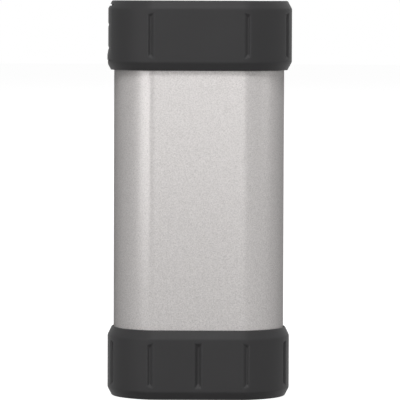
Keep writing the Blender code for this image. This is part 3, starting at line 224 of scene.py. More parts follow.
def outline_at(places):
    """Case outline at distances along it: round side, shoulder arc and flat, mirrored into the quarters.

    In each arc a point is the arc's centre plus its radius times the outward direction.
    """
    quarter = np.floor(places / QUARTER_LENGTH).astype(int) % 4
    within = places % QUARTER_LENGTH
    within = np.where(quarter % 2 == 1, QUARTER_LENGTH - within, within)
    side = within / SIDE_RADIUS
    shoulder = SIDE_SWEEP + (within - SIDE_LENGTH) / SHOULDER_RADIUS
    angle = np.where(within < SIDE_LENGTH, side, np.minimum(shoulder, math.pi / 2))
    normal = np.stack([np.cos(angle), np.sin(angle)], 1)
    on_side = normal * SIDE_RADIUS + (SIDE_X, 0)
    on_shoulder = normal * SHOULDER_RADIUS + (SHOULDER_X, SHOULDER_Y)
    on_flat = np.stack([QUARTER_LENGTH - within, np.full_like(within, CASE_DEPTH / 2)], 1)
    point = np.where((within < SIDE_LENGTH)[:, None], on_side, on_shoulder)
    past = within > SIDE_LENGTH + SHOULDER_LENGTH
    point = np.where(past[:, None], on_flat, point)
    mirror = np.stack([np.where((quarter == 1) | (quarter == 2), -1, 1), np.where(quarter < 2, 1, -1)], 1)
    return point * mirror, normal * mirror


def even_outline(steps):
    """Case outline at evenly spaced places."""
    return outline_at(np.arange(steps) * QUARTER_LENGTH * 4 / steps)


def round_outline(steps):
    """A point with outward directions all round, so that an offset is a radius."""
    angle = np.arange(steps) * math.tau / steps
    normal = np.stack([np.cos(angle), np.sin(angle)], 1)
    return normal * 0, normal


def block_outline(width, height, radius, steps=5):
    """Rectangle with round corners: each corner's centre plus radius times the outward direction."""
    angle = (np.arange(4)[:, None] + np.linspace(0, 1, steps)[None]) * math.pi / 2
    normal = np.stack([np.cos(angle), np.sin(angle)], 2)
    corner = np.sign(np.cos(angle.mean(1))), np.sign(np.sin(angle.mean(1)))
    centre = np.stack([corner[0] * (width / 2 - radius), corner[1] * (height / 2 - radius)], 1)
    return (centre[:, None] + normal * radius).reshape(-1, 2), normal.reshape(-1, 2)


def rounded(corners, radius, steps=4, closed=False):
    """Profile through corners, each turned by a quadratic curve that begins one radius before it."""
    corners = np.array(corners, float)
    share = np.linspace(0, 1, steps + 1)[:, None]
    made = []
    for at, corner in enumerate(corners):
        if not closed and at in (0, len(corners) - 1):
            made.append(corner[None])
            continue
        ends = []
        for other in (corners[at - 1], corners[(at + 1) % len(corners)]):
            step = other - corner
            ends.append(corner + step * min(radius / np.linalg.norm(step), 0.45))
        made.append((1 - share) ** 2 * ends[0] + 2 * share * (1 - share) * corner + share ** 2 * ends[1])
    return np.concatenate(made)


def upright(offset, heights):
    """Profile that runs straight up at one offset, through the given heights."""
    return np.stack([np.full_like(heights, offset), heights], 1)


def carried(outline, profile):
    """Profile carried round an outline: point plus outward direction times offset, at its own height."""
    points, normals = outline
    ring = points[None] + normals[None] * profile[:, 0, None, None]
    height = np.broadcast_to(profile[:, 1, None, None], ring.shape[:2] + (1,))
    return np.concatenate([ring, height], 2)


def capped(grid, steps=3, start=True, end=True):
    """Rings that shrink evenly onto the middle of the first and last row, which closes the ends."""
    share = np.linspace(0, 1, steps + 1)[:-1, None, None]
    middle = [(row.min(0) + row.max(0)) / 2 for row in (grid[0], grid[-1])]
    parts = [grid]
    if start:
        parts.insert(0, middle[0] + (grid[0] - middle[0]) * share)
    if end:
        parts.append(middle[1] + (grid[-1] - middle[1]) * share[::-1])
    return np.concatenate(parts)


def stood(grid, along, place=(0, 0, 0)):
    """Grid turned so that its height runs along an axis, and moved to its place."""
    order = {"X": (2, 0, 1), "Y": (0, 2, 1), "Z": (0, 1, 2)}[along]
    return grid[..., order] + np.array(place)


def smooth_min(first, second, reach):
    """The smaller of two values, less the square of what their distance leaves of reach over four reaches."""
    near = np.maximum(reach - np.abs(first - second), 0)
    return np.minimum(first, second) - near * near / (4 * reach)


def edge_strength(mesh):
    """Bend of the surface at each vertex: mean over its edges of normal change along the edge per length."""
    count = len(mesh.vertices)
    place = np.empty(count * 3, np.float32)
    normal = np.empty(count * 3, np.float32)
    ends = np.empty(len(mesh.edges) * 2, np.int32)
    mesh.vertices.foreach_get("co", place)
    mesh.vertices.foreach_get("normal", normal)
    mesh.edges.foreach_get("vertices", ends)
    place, normal, ends = place.reshape(-1, 3), normal.reshape(-1, 3), ends.reshape(-1, 2)
    along = place[ends[:, 1]] - place[ends[:, 0]]
    change = normal[ends[:, 1]] - normal[ends[:, 0]]
    bend = (along * change).sum(1) / np.maximum((along * along).sum(1), 1e-12)
    total = np.bincount(ends.ravel(), np.repeat(bend, 2), count)
    return total / np.maximum(np.bincount(ends.ravel(), minlength=count), 1)


def placed(name, data):
    """New object in the scene, at the origin."""
    thing = bpy.data.objects.new(name, data)
    bpy.context.scene.collection.objects.link(thing)
    return thing


def finished(name, grids, body, slot, replaces=(), closed=False, material=None):
    """One piece from its grids: quads between neighbouring points, seams and poles welded, faces outwards.

    Columns always run full circle. Where closed is true the last row joins the first. The finish is the
    slot's own, unless another material is given.
    """
    points, quads, start = [], [], 0
    for grid in grids:
        rows, columns = grid.shape[:2]
        index = np.arange(rows * columns).reshape(rows, columns) + start
        if closed:
            index = np.vstack([index, index[:1]])
        index = np.hstack([index, index[:, :1]])
        corners = [index[:-1, :-1], index[:-1, 1:], index[1:, 1:], index[1:, :-1]]
        quads.append(np.stack(corners, -1).reshape(-1, 4))
        points.append(grid.reshape(-1, 3))
        start += rows * columns
    mesh = bpy.data.meshes.new(name)
    mesh.from_pydata(np.concatenate(points), [], np.concatenate(quads))
    bm = bmesh.new()
    bm.from_mesh(mesh)
    bmesh.ops.remove_doubles(bm, verts=bm.verts, dist=1e-7)
    bmesh.ops.recalc_face_normals(bm, faces=bm.faces)
    bm.to_mesh(mesh)
    bm.free()
    piece = placed(name, mesh)
    mesh.materials.append(material or MATERIALS[slot])
    dress(piece)
    if body:
        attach(piece, body)
    if replaces:
        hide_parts(*replaces)
    return piece


def dress(piece):
    """Smooth shading up to an angle, and the edge attribute that the painted edge highlight group reads."""
    mesh = piece.data
    mesh.shade_smooth()
    mesh.set_sharp_from_angle(angle=SHARP_ANGLE)
    strength = np.clip(edge_strength(mesh) * EDGE_RADIUS, 0, 1).astype(np.float32)
    layer = mesh.attributes.get("edge") or mesh.attributes.new("edge", "FLOAT", "POINT")
    layer.data.foreach_set("value", strength)


def cut_from(piece, cutters):
    """Take closed grids out of a finished piece."""
    for at, grid in enumerate(cutters):
        tool = finished(f"{piece.name}_cutter_{at}", [grid], None, None, material=piece.data.materials[0])
        modifier = piece.modifiers.new("cut", "BOOLEAN")
        modifier.operation = "DIFFERENCE"
        modifier.solver = "EXACT"
        modifier.object = tool
        with bpy.context.temp_override(object=piece, active_object=piece, selected_objects=[piece]):
            bpy.ops.object.modifier_apply(modifier="cut")
        bpy.data.objects.remove(tool)
    dress(piece)


def block_grid(low, high, radius, along="Z", edge=None):
    """Block with round corners along one axis and softened ends."""
    low, high = np.array(low, float), np.array(high, float)
    first, second, third = {"X": (1, 2, 0), "Y": (0, 2, 1), "Z": (0, 1, 2)}[along]
    size = high - low
    edge = radius if edge is None else edge
    profile = rounded([(-edge * 2, 0), (0, 0), (0, size[third]), (-edge * 2, size[third])], edge)
    grid = capped(carried(block_outline(size[first], size[second], radius), profile), steps=2)
    place = (low + high) / 2
    place[third] = low[third]
    return stood(grid, along, place)


def rod_grid(place, start, end, radius, along="Y", edge=0.0001, steps=32):
    """Round rod between two distances along an axis, with softened ends."""
    profile = rounded([(radius / 2, start), (radius, start), (radius, end), (radius / 2, end)], edge)
    return stood(capped(carried(round_outline(steps), profile), steps=2), along, place)


# Shader groups and materials

def group_tree(name, scale, inputs, outputs):
    """Shader group with its sockets, a noise at the group's own place and scale, and its two end nodes."""
    tree = bpy.data.node_groups.new(name, "ShaderNodeTree")
    for label, kind, default in (("Vector", "Vector", (0, 0, 0)), ("Scale", "Float", scale), *inputs):
        socket = tree.interface.new_socket(label, in_out="INPUT", socket_type=f"NodeSocket{kind}")
        socket.default_value = default
    for label, kind in outputs:
        tree.interface.new_socket(label, in_out="OUTPUT", socket_type=f"NodeSocket{kind}")
    source, sink = tree.nodes.new("NodeGroupInput"), tree.nodes.new("NodeGroupOutput")
    noise = tree.nodes.new("ShaderNodeTexNoise")
    for label in ("Vector", "Scale"):
        tree.links.new(source.outputs[label], noise.inputs[label])
    return tree, source, sink, noise


def math_node(tree, operation, *values, clamp=False):
    """Math node fed by sockets or numbers."""
    node = tree.nodes.new("ShaderNodeMath")
    node.operation = operation
    node.use_clamp = clamp
    for socket, value in zip(node.inputs, values):
        if isinstance(value, bpy.types.NodeSocket):
            tree.links.new(value, socket)
        else:
            socket.default_value = value
    return node.outputs[0]


def grain_group():
    """Fine grain: noise at a size, with a soft height and a mask that keeps its brighter spots."""
    tree, source, sink, noise = group_tree(
        "fine grain", 1000.0,
        [("Detail", "Float", 2.0), ("Threshold", "Float", 0.5), ("Sharpness", "Float", 6.0)],
        [("Height", "Float"), ("Mask", "Float")])
    tree.links.new(source.outputs["Detail"], noise.inputs["Detail"])
    tree.links.new(noise.outputs["Fac"], sink.inputs["Height"])
    above = math_node(tree, "SUBTRACT", noise.outputs["Fac"], source.outputs["Threshold"])
    mask = math_node(tree, "MULTIPLY", above, source.outputs["Sharpness"], clamp=True)
    tree.links.new(mask, sink.inputs["Mask"])
    return tree


def tone_group():
    """Uneven tone: a colour made lighter and darker by a slow noise."""
    tree, source, sink, noise = group_tree(
        "uneven tone", 60.0, [("Color", "Color", (0.5, 0.5, 0.5, 1)), ("Amount", "Float", 0.1)],
        [("Color", "Color")])
    noise.inputs["Detail"].default_value = 3
    centred = math_node(tree, "SUBTRACT", noise.outputs["Fac"], 0.5)
    swing = math_node(tree, "MULTIPLY", centred, source.outputs["Amount"])
    factor = math_node(tree, "MULTIPLY_ADD", swing, 2.0, 1.0)
    scale = tree.nodes.new("ShaderNodeVectorMath")
    scale.operation = "SCALE"
    tree.links.new(source.outputs["Color"], scale.inputs[0])
    tree.links.new(factor, scale.inputs["Scale"])
    tree.links.new(scale.outputs[0], sink.inputs["Color"])
    return tree


def rub_group():
    """Painted edge highlight: the piece's edge attribute broken up by noise, as a mask that lightens convex edges.
    """
    tree, source, sink, noise = group_tree(
        "rubbed edge", 900.0, [("Reach", "Float", 1.0)], [("Mask", "Float")])
    edge = tree.nodes.new("ShaderNodeAttribute")
    edge.attribute_name = "edge"
    reach = math_node(tree, "MULTIPLY", edge.outputs["Fac"], source.outputs["Reach"])
    mask = math_node(tree, "MULTIPLY", reach, noise.outputs["Fac"], clamp=True)
    tree.links.new(mask, sink.inputs["Mask"])
    return tree


GROUPS = {}
MATERIALS = {}


def place_group(tree, name, vector, **values):
    """Shader group placed in a material, with that material's own values."""
    node = tree.nodes.new("ShaderNodeGroup")
    node.node_tree = GROUPS[name]
    tree.links.new(vector, node.inputs["Vector"])
    for key, value in values.items():
        node.inputs[key].default_value = value
    return node


def surface_material(name, colour, roughness, metallic=0.0, tone=0.06, tone_scale=60.0, grain=1500.0,
                     bump=0.1, bump_depth=0.00005, rough_swing=0.06, rub=0.0, rub_colour=None,
                     fleck=0.0, fleck_colour=None, speckle=0.0, speckle_scale=3000.0, **plain):
    """Coat, moulding or metal.

    Its colour has an uneven tone, speckle, flecks and a painted highlight along convex edges, and a fine grain is
    in its bump and roughness.
    """
    material = bpy.data.materials.new(name)
    material.use_nodes = True
    tree = material.node_tree
    shader = tree.nodes["Principled BSDF"]
    vector = tree.nodes.new("ShaderNodeTexCoord").outputs["Object"]
    colour = (*colour, 1)
    toned = place_group(tree, "uneven tone", vector, Color=colour, Scale=tone_scale, Amount=tone)
    fine = place_group(tree, "fine grain", vector, Scale=grain)
    base = toned.outputs["Color"]
    if speckle:
        dotted = place_group(tree, "uneven tone", vector, Scale=speckle_scale, Amount=speckle)
        tree.links.new(base, dotted.inputs["Color"])
        base = dotted.outputs["Color"]
    layers = []
    if fleck:
        layers.append((fine.outputs["Mask"], fleck, fleck_colour))
    if rub:
        # Painted highlight: a lighter colour mixed in along convex edges, by the edge attribute.
        rubbed = place_group(tree, "rubbed edge", vector)
        layers.append((rubbed.outputs["Mask"], rub, rub_colour))
    for mask, amount, over in layers:
        mix = tree.nodes.new("ShaderNodeMix")
        mix.data_type = "RGBA"
        tree.links.new(math_node(tree, "MULTIPLY", mask, amount), mix.inputs["Factor"])
        tree.links.new(base, mix.inputs["A"])
        mix.inputs["B"].default_value = (*over, 1)
        base = mix.outputs["Result"]
    tree.links.new(base, shader.inputs["Base Color"])
    centred = math_node(tree, "SUBTRACT", fine.outputs["Height"], 0.5)
    swing = math_node(tree, "MULTIPLY_ADD", centred, rough_swing * 2, roughness)
    tree.links.new(swing, shader.inputs["Roughness"])
    lift = tree.nodes.new("ShaderNodeBump")
    lift.inputs["Strength"].default_value = bump
    lift.inputs["Distance"].default_value = bump_depth
    tree.links.new(fine.outputs["Height"], lift.inputs["Height"])
    tree.links.new(lift.outputs["Normal"], shader.inputs["Normal"])
    shader.inputs["Metallic"].default_value = metallic
    for key, value in plain.items():
        shader.inputs[key.replace("_", " ")].default_value = value
    return material


def make_materials(context):
    """Every finish that the pieces and the carried-over nodes use, by the record's slot names."""
    case, rubber = context.scene.warmer_case, context.scene.warmer_rubber
    GROUPS.update({"fine grain": grain_group(), "uneven tone": tone_group(), "rubbed edge": rub_group()})
    made = surface_material
    # The edge highlight colours below are painted highlights, lighter than each finish, along convex edges.
    return {
        "silver_aluminium": made(
            "silver coat", case.silver, 0.3, metallic=0.1, tone=0.02, tone_scale=25, grain=2600,
            bump=0.5, bump_depth=0.00006, rough_swing=0.1, fleck=0.25, fleck_colour=(0.86, 0.85, 0.84),
            speckle=0.35, speckle_scale=3300, Specular_IOR_Level=0.0),
        "black_rubber": made(
            "black rubber", rubber.black, 0.54, tone=0.10, tone_scale=45, grain=5200, bump=0.25,
            bump_depth=0.00003, rub=0.5, rub_colour=(0.11, 0.11, 0.115), Specular_IOR_Level=0.12),
        "black_plastic": made("black moulding", case.plastic, 0.7, grain=4200, bump=0.3,
                              rub=0.3, rub_colour=(0.07, 0.07, 0.07), Specular_IOR_Level=0.12),
        "button_plastic": made("button moulding", (0.05, 0.05, 0.053), 0.42, grain=5000, bump=0.15,
                               rub=0.3, rub_colour=(0.12, 0.12, 0.12)),
        "trim_plastic": made("trim ring coat", (0.32, 0.32, 0.33), 0.32, metallic=0.8, grain=4500,
                             bump=0.1, rub=0.4, rub_colour=(0.6, 0.6, 0.6)),
        "clear_plastic": made("light pipe", (0.86, 0.88, 0.89), 0.28, tone=0.03, grain=2500, bump=0.05,
                              Transmission_Weight=0.35, IOR=1.49),
        "gasket_rubber": made("seal rubber", (0.42, 0.10, 0.06), 0.6, grain=3000, bump=0.2),
        "screw_steel": made("screw steel", (0.48, 0.48, 0.50), 0.35, metallic=1.0, tone=0.1, grain=4000),
        "socket_steel": made("socket steel", (0.62, 0.62, 0.64), 0.28, metallic=1.0, tone=0.05,
                             tone_scale=200, grain=3500, bump=0.08),
        "board_green": made("board lacquer", (0.03, 0.16, 0.08), 0.3, tone=0.25, tone_scale=400,
                            grain=2500, bump=0.05),
        "chip_black": made("chip resin", (0.02, 0.02, 0.021), 0.5, tone=0.15, grain=6000, bump=0.2),
        "ferrite": made("ferrite", (0.10, 0.10, 0.11), 0.55, tone=0.2, tone_scale=500, grain=3000,
                        bump=0.3),
        "capacitor_can": made("can aluminium", (0.60, 0.60, 0.62), 0.3, metallic=0.9, grain=2500),
        "cell_wrap": made("cell sleeve", (0.05, 0.28, 0.42), 0.3, tone=0.08, grain=900, bump=0.08),
        "holder_plastic": made("cell holder moulding", (0.60, 0.60, 0.58), 0.5, grain=3000, bump=0.2),
        "nickel": made("nickel strip", (0.66, 0.64, 0.58), 0.3, metallic=1.0, tone=0.06, grain=2500),
        "heater_film": made("heater film", (0.55, 0.24, 0.05), 0.32, tone=0.12, tone_scale=250,
                            grain=2000, bump=0.05),
        "foam_grey": made("foam", (0.18, 0.18, 0.19), 0.9, tone=0.3, tone_scale=900, grain=1800,
                          bump=0.9, bump_depth=0.0002),
        "wire_red": made("red wire sleeve", (0.55, 0.03, 0.02), 0.4, grain=2500, bump=0.1),
        "wire_black": made("black wire sleeve", (0.02, 0.02, 0.02), 0.4, grain=2500, bump=0.1),
        "wire_white": made("white wire sleeve", (0.75, 0.75, 0.73), 0.4, grain=2500, bump=0.1),
        "led_white": made("lamp package", (0.85, 0.85, 0.78), 0.35, grain=3000, bump=0.1),
        "contact_gold": made("gold contact", (0.80, 0.58, 0.25), 0.25, metallic=1.0, grain=3500),
    }


class WARMER_OT_finishes(bpy.types.Operator):
    """Make the finishes and put them on the carried-over inner parts"""

    bl_idname = "warmer.finishes"
    bl_label = "Finishes"

    def execute(self, context):
        MATERIALS.update(make_materials(context))
        for part in frame["record"]["subparts"]:
            node = frame["nodes"][part["node"]]
            node.data.materials.clear()
            node.data.materials.append(MATERIALS[part["material_slot"]])
        return {"FINISHED"}


class WARMER_OT_tube(bpy.types.Operator):
    """Build the coated metal tube with its cut ends and screw channels"""

    bl_idname = "warmer.tube"
    bl_label = "Tube"

    def execute(self, context):
        case = context.scene.warmer_case
        low, high, wall, outer, bore = TUBE_LOW.z, TUBE_HIGH.z, case.wall, case.channel, case.channel_bore
        profile = rounded([(0, low), (0, high), (-wall, high), (-wall, low)], case.lip, closed=True)
        grids = [carried(even_outline(360), profile)]
        ring = rounded([(outer, low), (outer, high), (bore, high), (bore, low)], case.lip, closed=True)
        middle = (SCREW_LOW + SCREW_HIGH) / 2
        for x in (middle.x, -middle.x):
            for y in (middle.y, -middle.y):
                grids.append(stood(carried(round_outline(40), ring), "Z", (x, y, 0)))
        finished("tube_shell", grids, "case", "silver_aluminium", ["case_tube"], closed=True)
        return {"FINISHED"}


def groove_places(proud, rubber, kept):
    """Place and facing of each upright groove: (x, y, turn), where turn 0 faces the front."""
    pitch = SHOULDER_X + rubber.past_shoulder
    flat = CASE_DEPTH / 2 + proud
    reach = SIDE_RADIUS + proud
    side = SIDE_X + reach * math.cos(rubber.side_angle)
    depth = reach * math.sin(rubber.side_angle)
    places = {}
    for key, x in (("left", -pitch), ("middle", 0), ("right", pitch)):
        places[f"front_{key}"] = (x, -flat, 0)
        places[f"rear_{key}"] = (x, flat, math.pi)
    for key, way in (("right", 1), ("left", -1)):
        turn = way * math.pi / 2
        places[f"{key}_front"] = (way * side, -depth, turn - way * rubber.side_angle)
        places[f"{key}_rear"] = (way * side, depth, turn + way * rubber.side_angle)
    return [places[key] for key in sorted(places) if key in kept]


UPPER_GROOVES = ("front_left", "front_right", "rear_left", "rear_right", "right_front", "right_rear")
ALL_GROOVES = (*UPPER_GROOVES, "front_middle", "rear_middle", "left_front", "left_rear")


def across_and_out(points, groove):
    """Distances of points across a groove and outwards from its plane."""
    x, y, turn = groove
    step = points[..., :2] - (x, y)
    across = step @ np.array((math.cos(turn), math.sin(turn)))
    out = step @ np.array((math.sin(turn), -math.cos(turn)))
    return across, out


def groove_columns(proud, grooves, width, fine=0.0001, coarse=7):
    """Outline places: close together near the grooves, one in so many elsewhere."""
    count = round(QUARTER_LENGTH / fine / coarse) * coarse * 4
    places = np.arange(count) * QUARTER_LENGTH * 4 / count
    points, normals = outline_at(places)
    points = points + normals * proud
    near = np.arange(count) % coarse == 0
    for groove in grooves:
        across, out = across_and_out(points, groove)
        near |= (np.abs(across) < width) & (out > -proud)
    return outline_at(places[near])


def groove_rows(proud, low, high, tip):
    """Profile rows up a band, close together from just before a groove's end to just past its slope."""
    step = np.linspace(-tip * 0.3, tip * 1.3, 16)
    plain = np.linspace(low + tip * 1.6, high - tip * 1.6, 6)
    heights = np.concatenate([low + step, plain, high - step[::-1]])
    return upright(proud, heights)


def press_grooves(grid, grooves, low, high, rubber):
    """Grooves pressed in: outward distance is the smaller of the surface's and the trough's.

    The trough sinks from the groove's edge over its flank, and from its ends over its tip, down to
    its floor, and each change of slope is eased.
    """
    flank = (rubber.groove_width - rubber.groove_floor) / 2
    corner_ease, floor_ease, mouth_ease = 0.15, 0.3, rubber.softness * 0.6
    for groove in grooves:
        across, out = across_and_out(grid, groove)
        sides = (rubber.groove_width / 2 - np.abs(across)) / flank
        ends = ((high - low) / 2 - np.abs(grid[..., 2] - (low + high) / 2)) / rubber.groove_tip
        sunk = smooth_min(smooth_min(sides, ends, corner_ease), 1, floor_ease)
        pressed = smooth_min(out, -rubber.groove_depth * sunk, mouth_ease)
        turn = groove[2]
        grid[..., :2] += (pressed - out)[..., None] * (math.sin(turn), -math.cos(turn))
    return grid


class WARMER_OT_bumpers(bpy.types.Operator):
    """Build the two rubber bumpers with their bevels, grooves and openings"""

    bl_idname = "warmer.bumpers"
    bl_label = "Bumpers"

    def execute(self, context):
        rubber = context.scene.warmer_rubber
        self.lower(rubber)
        self.upper(rubber, context.scene.warmer_case)
        return {"FINISHED"}

    def lower(self, rubber):
        """Cup under the tube: floor with a recessed field, bevelled foot, grooved band and a thin lip."""
        proud, top = LOWER_PROUD, LOWER_HIGH.z
        brim = top + rubber.lip_reach
        floor = FLOOR_LOW.z - FIT_GAP
        low = rubber.bevel_height + rubber.groove_margin
        high = top - rubber.bevel_height - rubber.groove_margin
        foot = proud - rubber.bevel_inset
        field = foot - rubber.foot_border
        recess = rubber.foot_recess
        under = [(field - recess * 2, recess), (field - recess, recess), (field, 0), (foot, 0),
                 (proud, rubber.bevel_height), (proud, low)]
        over = [(proud, high), (proud, top - rubber.bevel_height), (FIT_GAP + rubber.lower_lip, brim),
                (FIT_GAP, brim), (FIT_GAP, floor), (field, floor)]
        grid = capped(self.grooved(under, over, ALL_GROOVES, rubber), steps=6)
        finished("lower_bumper", [grid], "case", "black_rubber", ["bottom_bumper"])

    def upper(self, rubber, case):
        """Ring round the top with a rim over the lid, opened for the flap, the button and the lights."""
        proud, top, edge = UPPER_PROUD, UPPER_HIGH.z, UPPER_LOW.z - rubber.lip_reach
        low = edge + rubber.bevel_height + rubber.groove_margin
        high = top - rubber.bevel_height - rubber.groove_margin
        under_rim = LID_LOW.z + case.lid_plate + FIT_GAP
        inner = FIT_GAP - case.rim
        under = [(FIT_GAP + rubber.upper_lip, edge), (proud, edge + rubber.bevel_height), (proud, low)]
        over = [(proud, high), (proud, top - rubber.bevel_height), (proud - rubber.bevel_inset, top),
                (inner, top), (inner, under_rim), (FIT_GAP, under_rim), (FIT_GAP, edge)]
        grid = self.grooved(under, over, UPPER_GROOVES, rubber)
        ring = finished("upper_bumper", [grid], "case", "black_rubber", ["top_bumper"], closed=True)
        half, slot_half = COVER_HIGH.y + FIT_GAP, ANCHOR_HIGH.y + FIT_GAP
        past, cut_edge, slot_corner = 0.002, 0.0001, 0.0002
        left = UPPER_LOW.x - past
        behind = -math.sqrt(SIDE_RADIUS ** 2 - half ** 2) - SIDE_X + past / 2
        under_flap = COVER_LOW.z - rubber.flap_drop - rubber.flap_gap
        facet_x, slot_x = TUBE_LOW.x - rubber.facet, TUBE_LOW.x + case.rim + past
        # The flat below the flap, the window behind the flap and the slot for its tail
        cutters = [block_grid(start, end, corner, along="X", edge=cut_edge) for start, end, corner in (
            ((left, -half, edge - past), (facet_x, half, HINGE[2]), rubber.softness),
            ((left, -half, under_flap), (behind, half, HINGE[2] + FIT_GAP), rubber.softness),
            ((left, -slot_half, HINGE[2]), (slot_x, slot_half, top + past), slot_corner))]
        rear, clear = TUBE_HIGH.y - past / 2, UPPER_HIGH.y + past
        cutters.append(rod_grid((BUTTON_X, 0, BUTTON_Z), rear, clear, TRIM_RADIUS + FIT_GAP, steps=64))
        for x in light_places():
            cutters.append(rod_grid((x, 0, BUTTON_Z), rear, clear, LIGHT_RADIUS + FIT_GAP))
        cut_from(ring, cutters)

    def grooved(self, under, over, kept, rubber):
        """Corners below and above the band, softened and carried round the case, with the grooves between."""
        (proud, low), high = under[-1], over[0][1]
        rows = groove_rows(proud, low, high, rubber.groove_tip)
        under, over = rounded(under, rubber.softness), rounded(over, rubber.softness)
        profile = np.concatenate([under[:-1], rows, over[1:]])
        grooves = groove_places(proud, rubber, kept)
        outline = groove_columns(proud, grooves, rubber.groove_width * 0.65)
        return press_grooves(carried(outline, profile), grooves, low, high, rubber)


def light_places():
    """Places of the indicator lights along X."""
    return np.linspace(GUIDE_LOW.x + LIGHT_MARGIN, GUIDE_HIGH.x - LIGHT_MARGIN, LIGHT_COUNT)


class WARMER_OT_lid(bpy.types.Operator):
    """Build the lid plate with the raised panel that the rubber rim frames"""

    bl_idname = "warmer.lid"
    bl_label = "Lid"

    def execute(self, context):
        case = context.scene.warmer_case
        low, plate, high = LID_LOW.z, LID_LOW.z + case.lid_plate, LID_HIGH.z
        panel = -case.rim
        under_run, over_run, soft = 0.003, 0.001, 0.0003
        profile = rounded([(-under_run, low), (0, low), (0, plate), (panel, plate), (panel, high),
                           (panel - over_run, high)], soft)
        grid = capped(carried(even_outline(240), profile), steps=8)
        finished("lid_plate", [grid], "case", "black_plastic", ["top_lid"])
        return {"FINISHED"}


def side_points(offsets, across, heights):
    """Points on the case's left side grown by offset: x from the side arc's circle at that place across."""
    reach = SIDE_RADIUS + offsets
    x = -(SIDE_X + np.sqrt(reach ** 2 - across ** 2))
    return np.stack([x, across, heights], -1)


def side_strip(outer, inner, half, soft, rows=24):
    """Strip on the left side: outer and inner profile joined in a loop, carried across it.

    Near its two ends the loop draws in towards its middle line by a quarter circle, and then closes on it.
    """
    loop = np.concatenate([outer, inner[::-1]])
    middle = np.concatenate([(outer + inner) / 2, ((outer + inner) / 2)[::-1]])
    turn = np.linspace(0, math.pi / 2, 5)
    y = half - soft + soft * np.sin(turn)
    draw = soft * (1 - np.cos(turn))
    flat = np.linspace(-(half - soft), half - soft, rows)[1:-1]
    across = np.concatenate([[-half], -y[::-1], flat, y, [half]])
    inset = np.concatenate([[1], draw[::-1], flat * 0, draw, [1]])[:, None]
    thick = np.abs(loop[:, 0] - middle[:, 0])[None]
    keep = np.clip(1 - inset / np.maximum(thick, 1e-9), 0, 1)
    centre = loop[:, 1].mean()
    rise = (loop[:, 1] - centre)[None]
    offsets = middle[None, :, 0] + (loop - middle)[None, :, 0] * keep
    heights = centre + rise * (1 - np.minimum(inset, soft) / np.abs(rise).max())
    return side_points(offsets, np.broadcast_to(across[:, None], offsets.shape), heights)


def flap_outside(height, rubber):
    """How far the flap and its tail stand out at a height within the upper bevel."""
    slope = rubber.bevel_inset / rubber.bevel_height
    return rubber.flap_proud - max(height - CASE_HEIGHT + rubber.bevel_height, 0) * slope


class WARMER_OT_cover(bpy.types.Operator):
    """Build the port flap, its plugs, its fixed tail and the thin web between them"""

    bl_idname = "warmer.cover"
    bl_label = "Port cover"

    def execute(self, context):
        rubber = context.scene.warmer_rubber
        self.flap(rubber)
        self.tail(rubber, context.scene.warmer_case.rim)
        self.web(rubber)
        return {"FINISHED"}

    def flap(self, rubber):
        """Flap with two cross grooves, a bevel above, a flared pull lip below and a pad for each socket."""
        proud, lip, soft = rubber.flap_proud, TUBE_LOW.x - COVER_LOW.x, rubber.softness * 0.7
        low, top = COVER_LOW.z - rubber.flap_drop, COVER_HIGH.z
        upper, lower = rubber.flap_grooves
        half, sink = rubber.flap_groove_half, rubber.flap_groove_depth
        corners = [(FIT_GAP, low), (lip, low), (lip, low + rubber.flap_lip)]
        for groove in (CASE_HEIGHT - lower, CASE_HEIGHT - upper):
            corners += [(proud, groove - half), (proud - sink, groove), (proud, groove + half)]
        corners += [(proud, CASE_HEIGHT - rubber.bevel_height), (flap_outside(top, rubber), top),
                    (FIT_GAP, top)]
        outer = rounded(corners, soft)
        inner = upright(FIT_GAP, outer[:, 1])
        pads = [self.pad(rubber, "usb_a_socket", rubber.pad_reach),
                self.pad(rubber, "usb_c_socket", -FIT_GAP)]
        finished("port_flap", [side_strip(outer, inner, COVER_HIGH.y, soft), *pads], "cover", "black_rubber",
                 ["port_cover"])

    def pad(self, rubber, socket, reach):
        """Rounded block from the flap into a socket's window.

        Its sides and its lower face draw in by a share that grows evenly along it.
        """
        low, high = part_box(socket)
        half = high.y - rubber.pad_inset
        bottom, top = low.z + rubber.pad_inset, high.z - rubber.pad_inset
        start = -(SIDE_X + math.sqrt((SIDE_RADIUS + FIT_GAP * 2) ** 2 - half ** 2))
        end = low.x + reach
        grid = block_grid((start, -half, bottom), (end, half, top), FIT_GAP * 2, along="X", edge=FIT_GAP)
        draw = np.clip((grid[..., 0] - start) / (end - start), 0, 1) * rubber.pad_draw
        grid[..., 1] *= 1 - draw / 2 / half
        grid[..., 2] += draw * (top - grid[..., 2]) / (top - bottom)
        return grid

    def tail(self, rubber, rim):
        """Fixed tail let into the rim above the hinge notch, with its peg in the lid."""
        notch = HINGE[2] + rubber.notch_half
        top, inner_x, soft = ANCHOR_HIGH.z, FIT_GAP - rim, rubber.softness * 0.4
        corners = [(inner_x, notch), (flap_outside(notch, rubber), notch), (flap_outside(top, rubber), top),
                   (inner_x, top)]
        outer = rounded(corners, soft)
        inner = upright(inner_x, outer[:, 1])
        peg_x, peg_top = TUBE_LOW.x + rubber.peg_inset, (notch + top) / 2
        peg = rod_grid((peg_x, 0, 0), ANCHOR_LOW.z, peg_top, rubber.peg, along="Z")
        finished("flap_tail", [side_strip(outer, inner, ANCHOR_HIGH.y, soft), peg], "case", "black_rubber",
                 ["port_cover_anchor"])

    def web(self, rubber):
        """Thin web in the hinge notch, its ends in the flap and the tail."""
        notch = HINGE[2] + rubber.notch_half
        outside = flap_outside(notch, rubber) - rubber.web_sink
        heights = np.linspace(COVER_HIGH.z - rubber.web, notch + rubber.web, 13)
        outer = upright(outside, heights)
        grid = side_strip(outer, outer - (rubber.web, 0), ANCHOR_HIGH.y - FIT_GAP, rubber.web / 3)
        web = finished("hinge_web", [grid], None, "black_rubber")
        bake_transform(web)


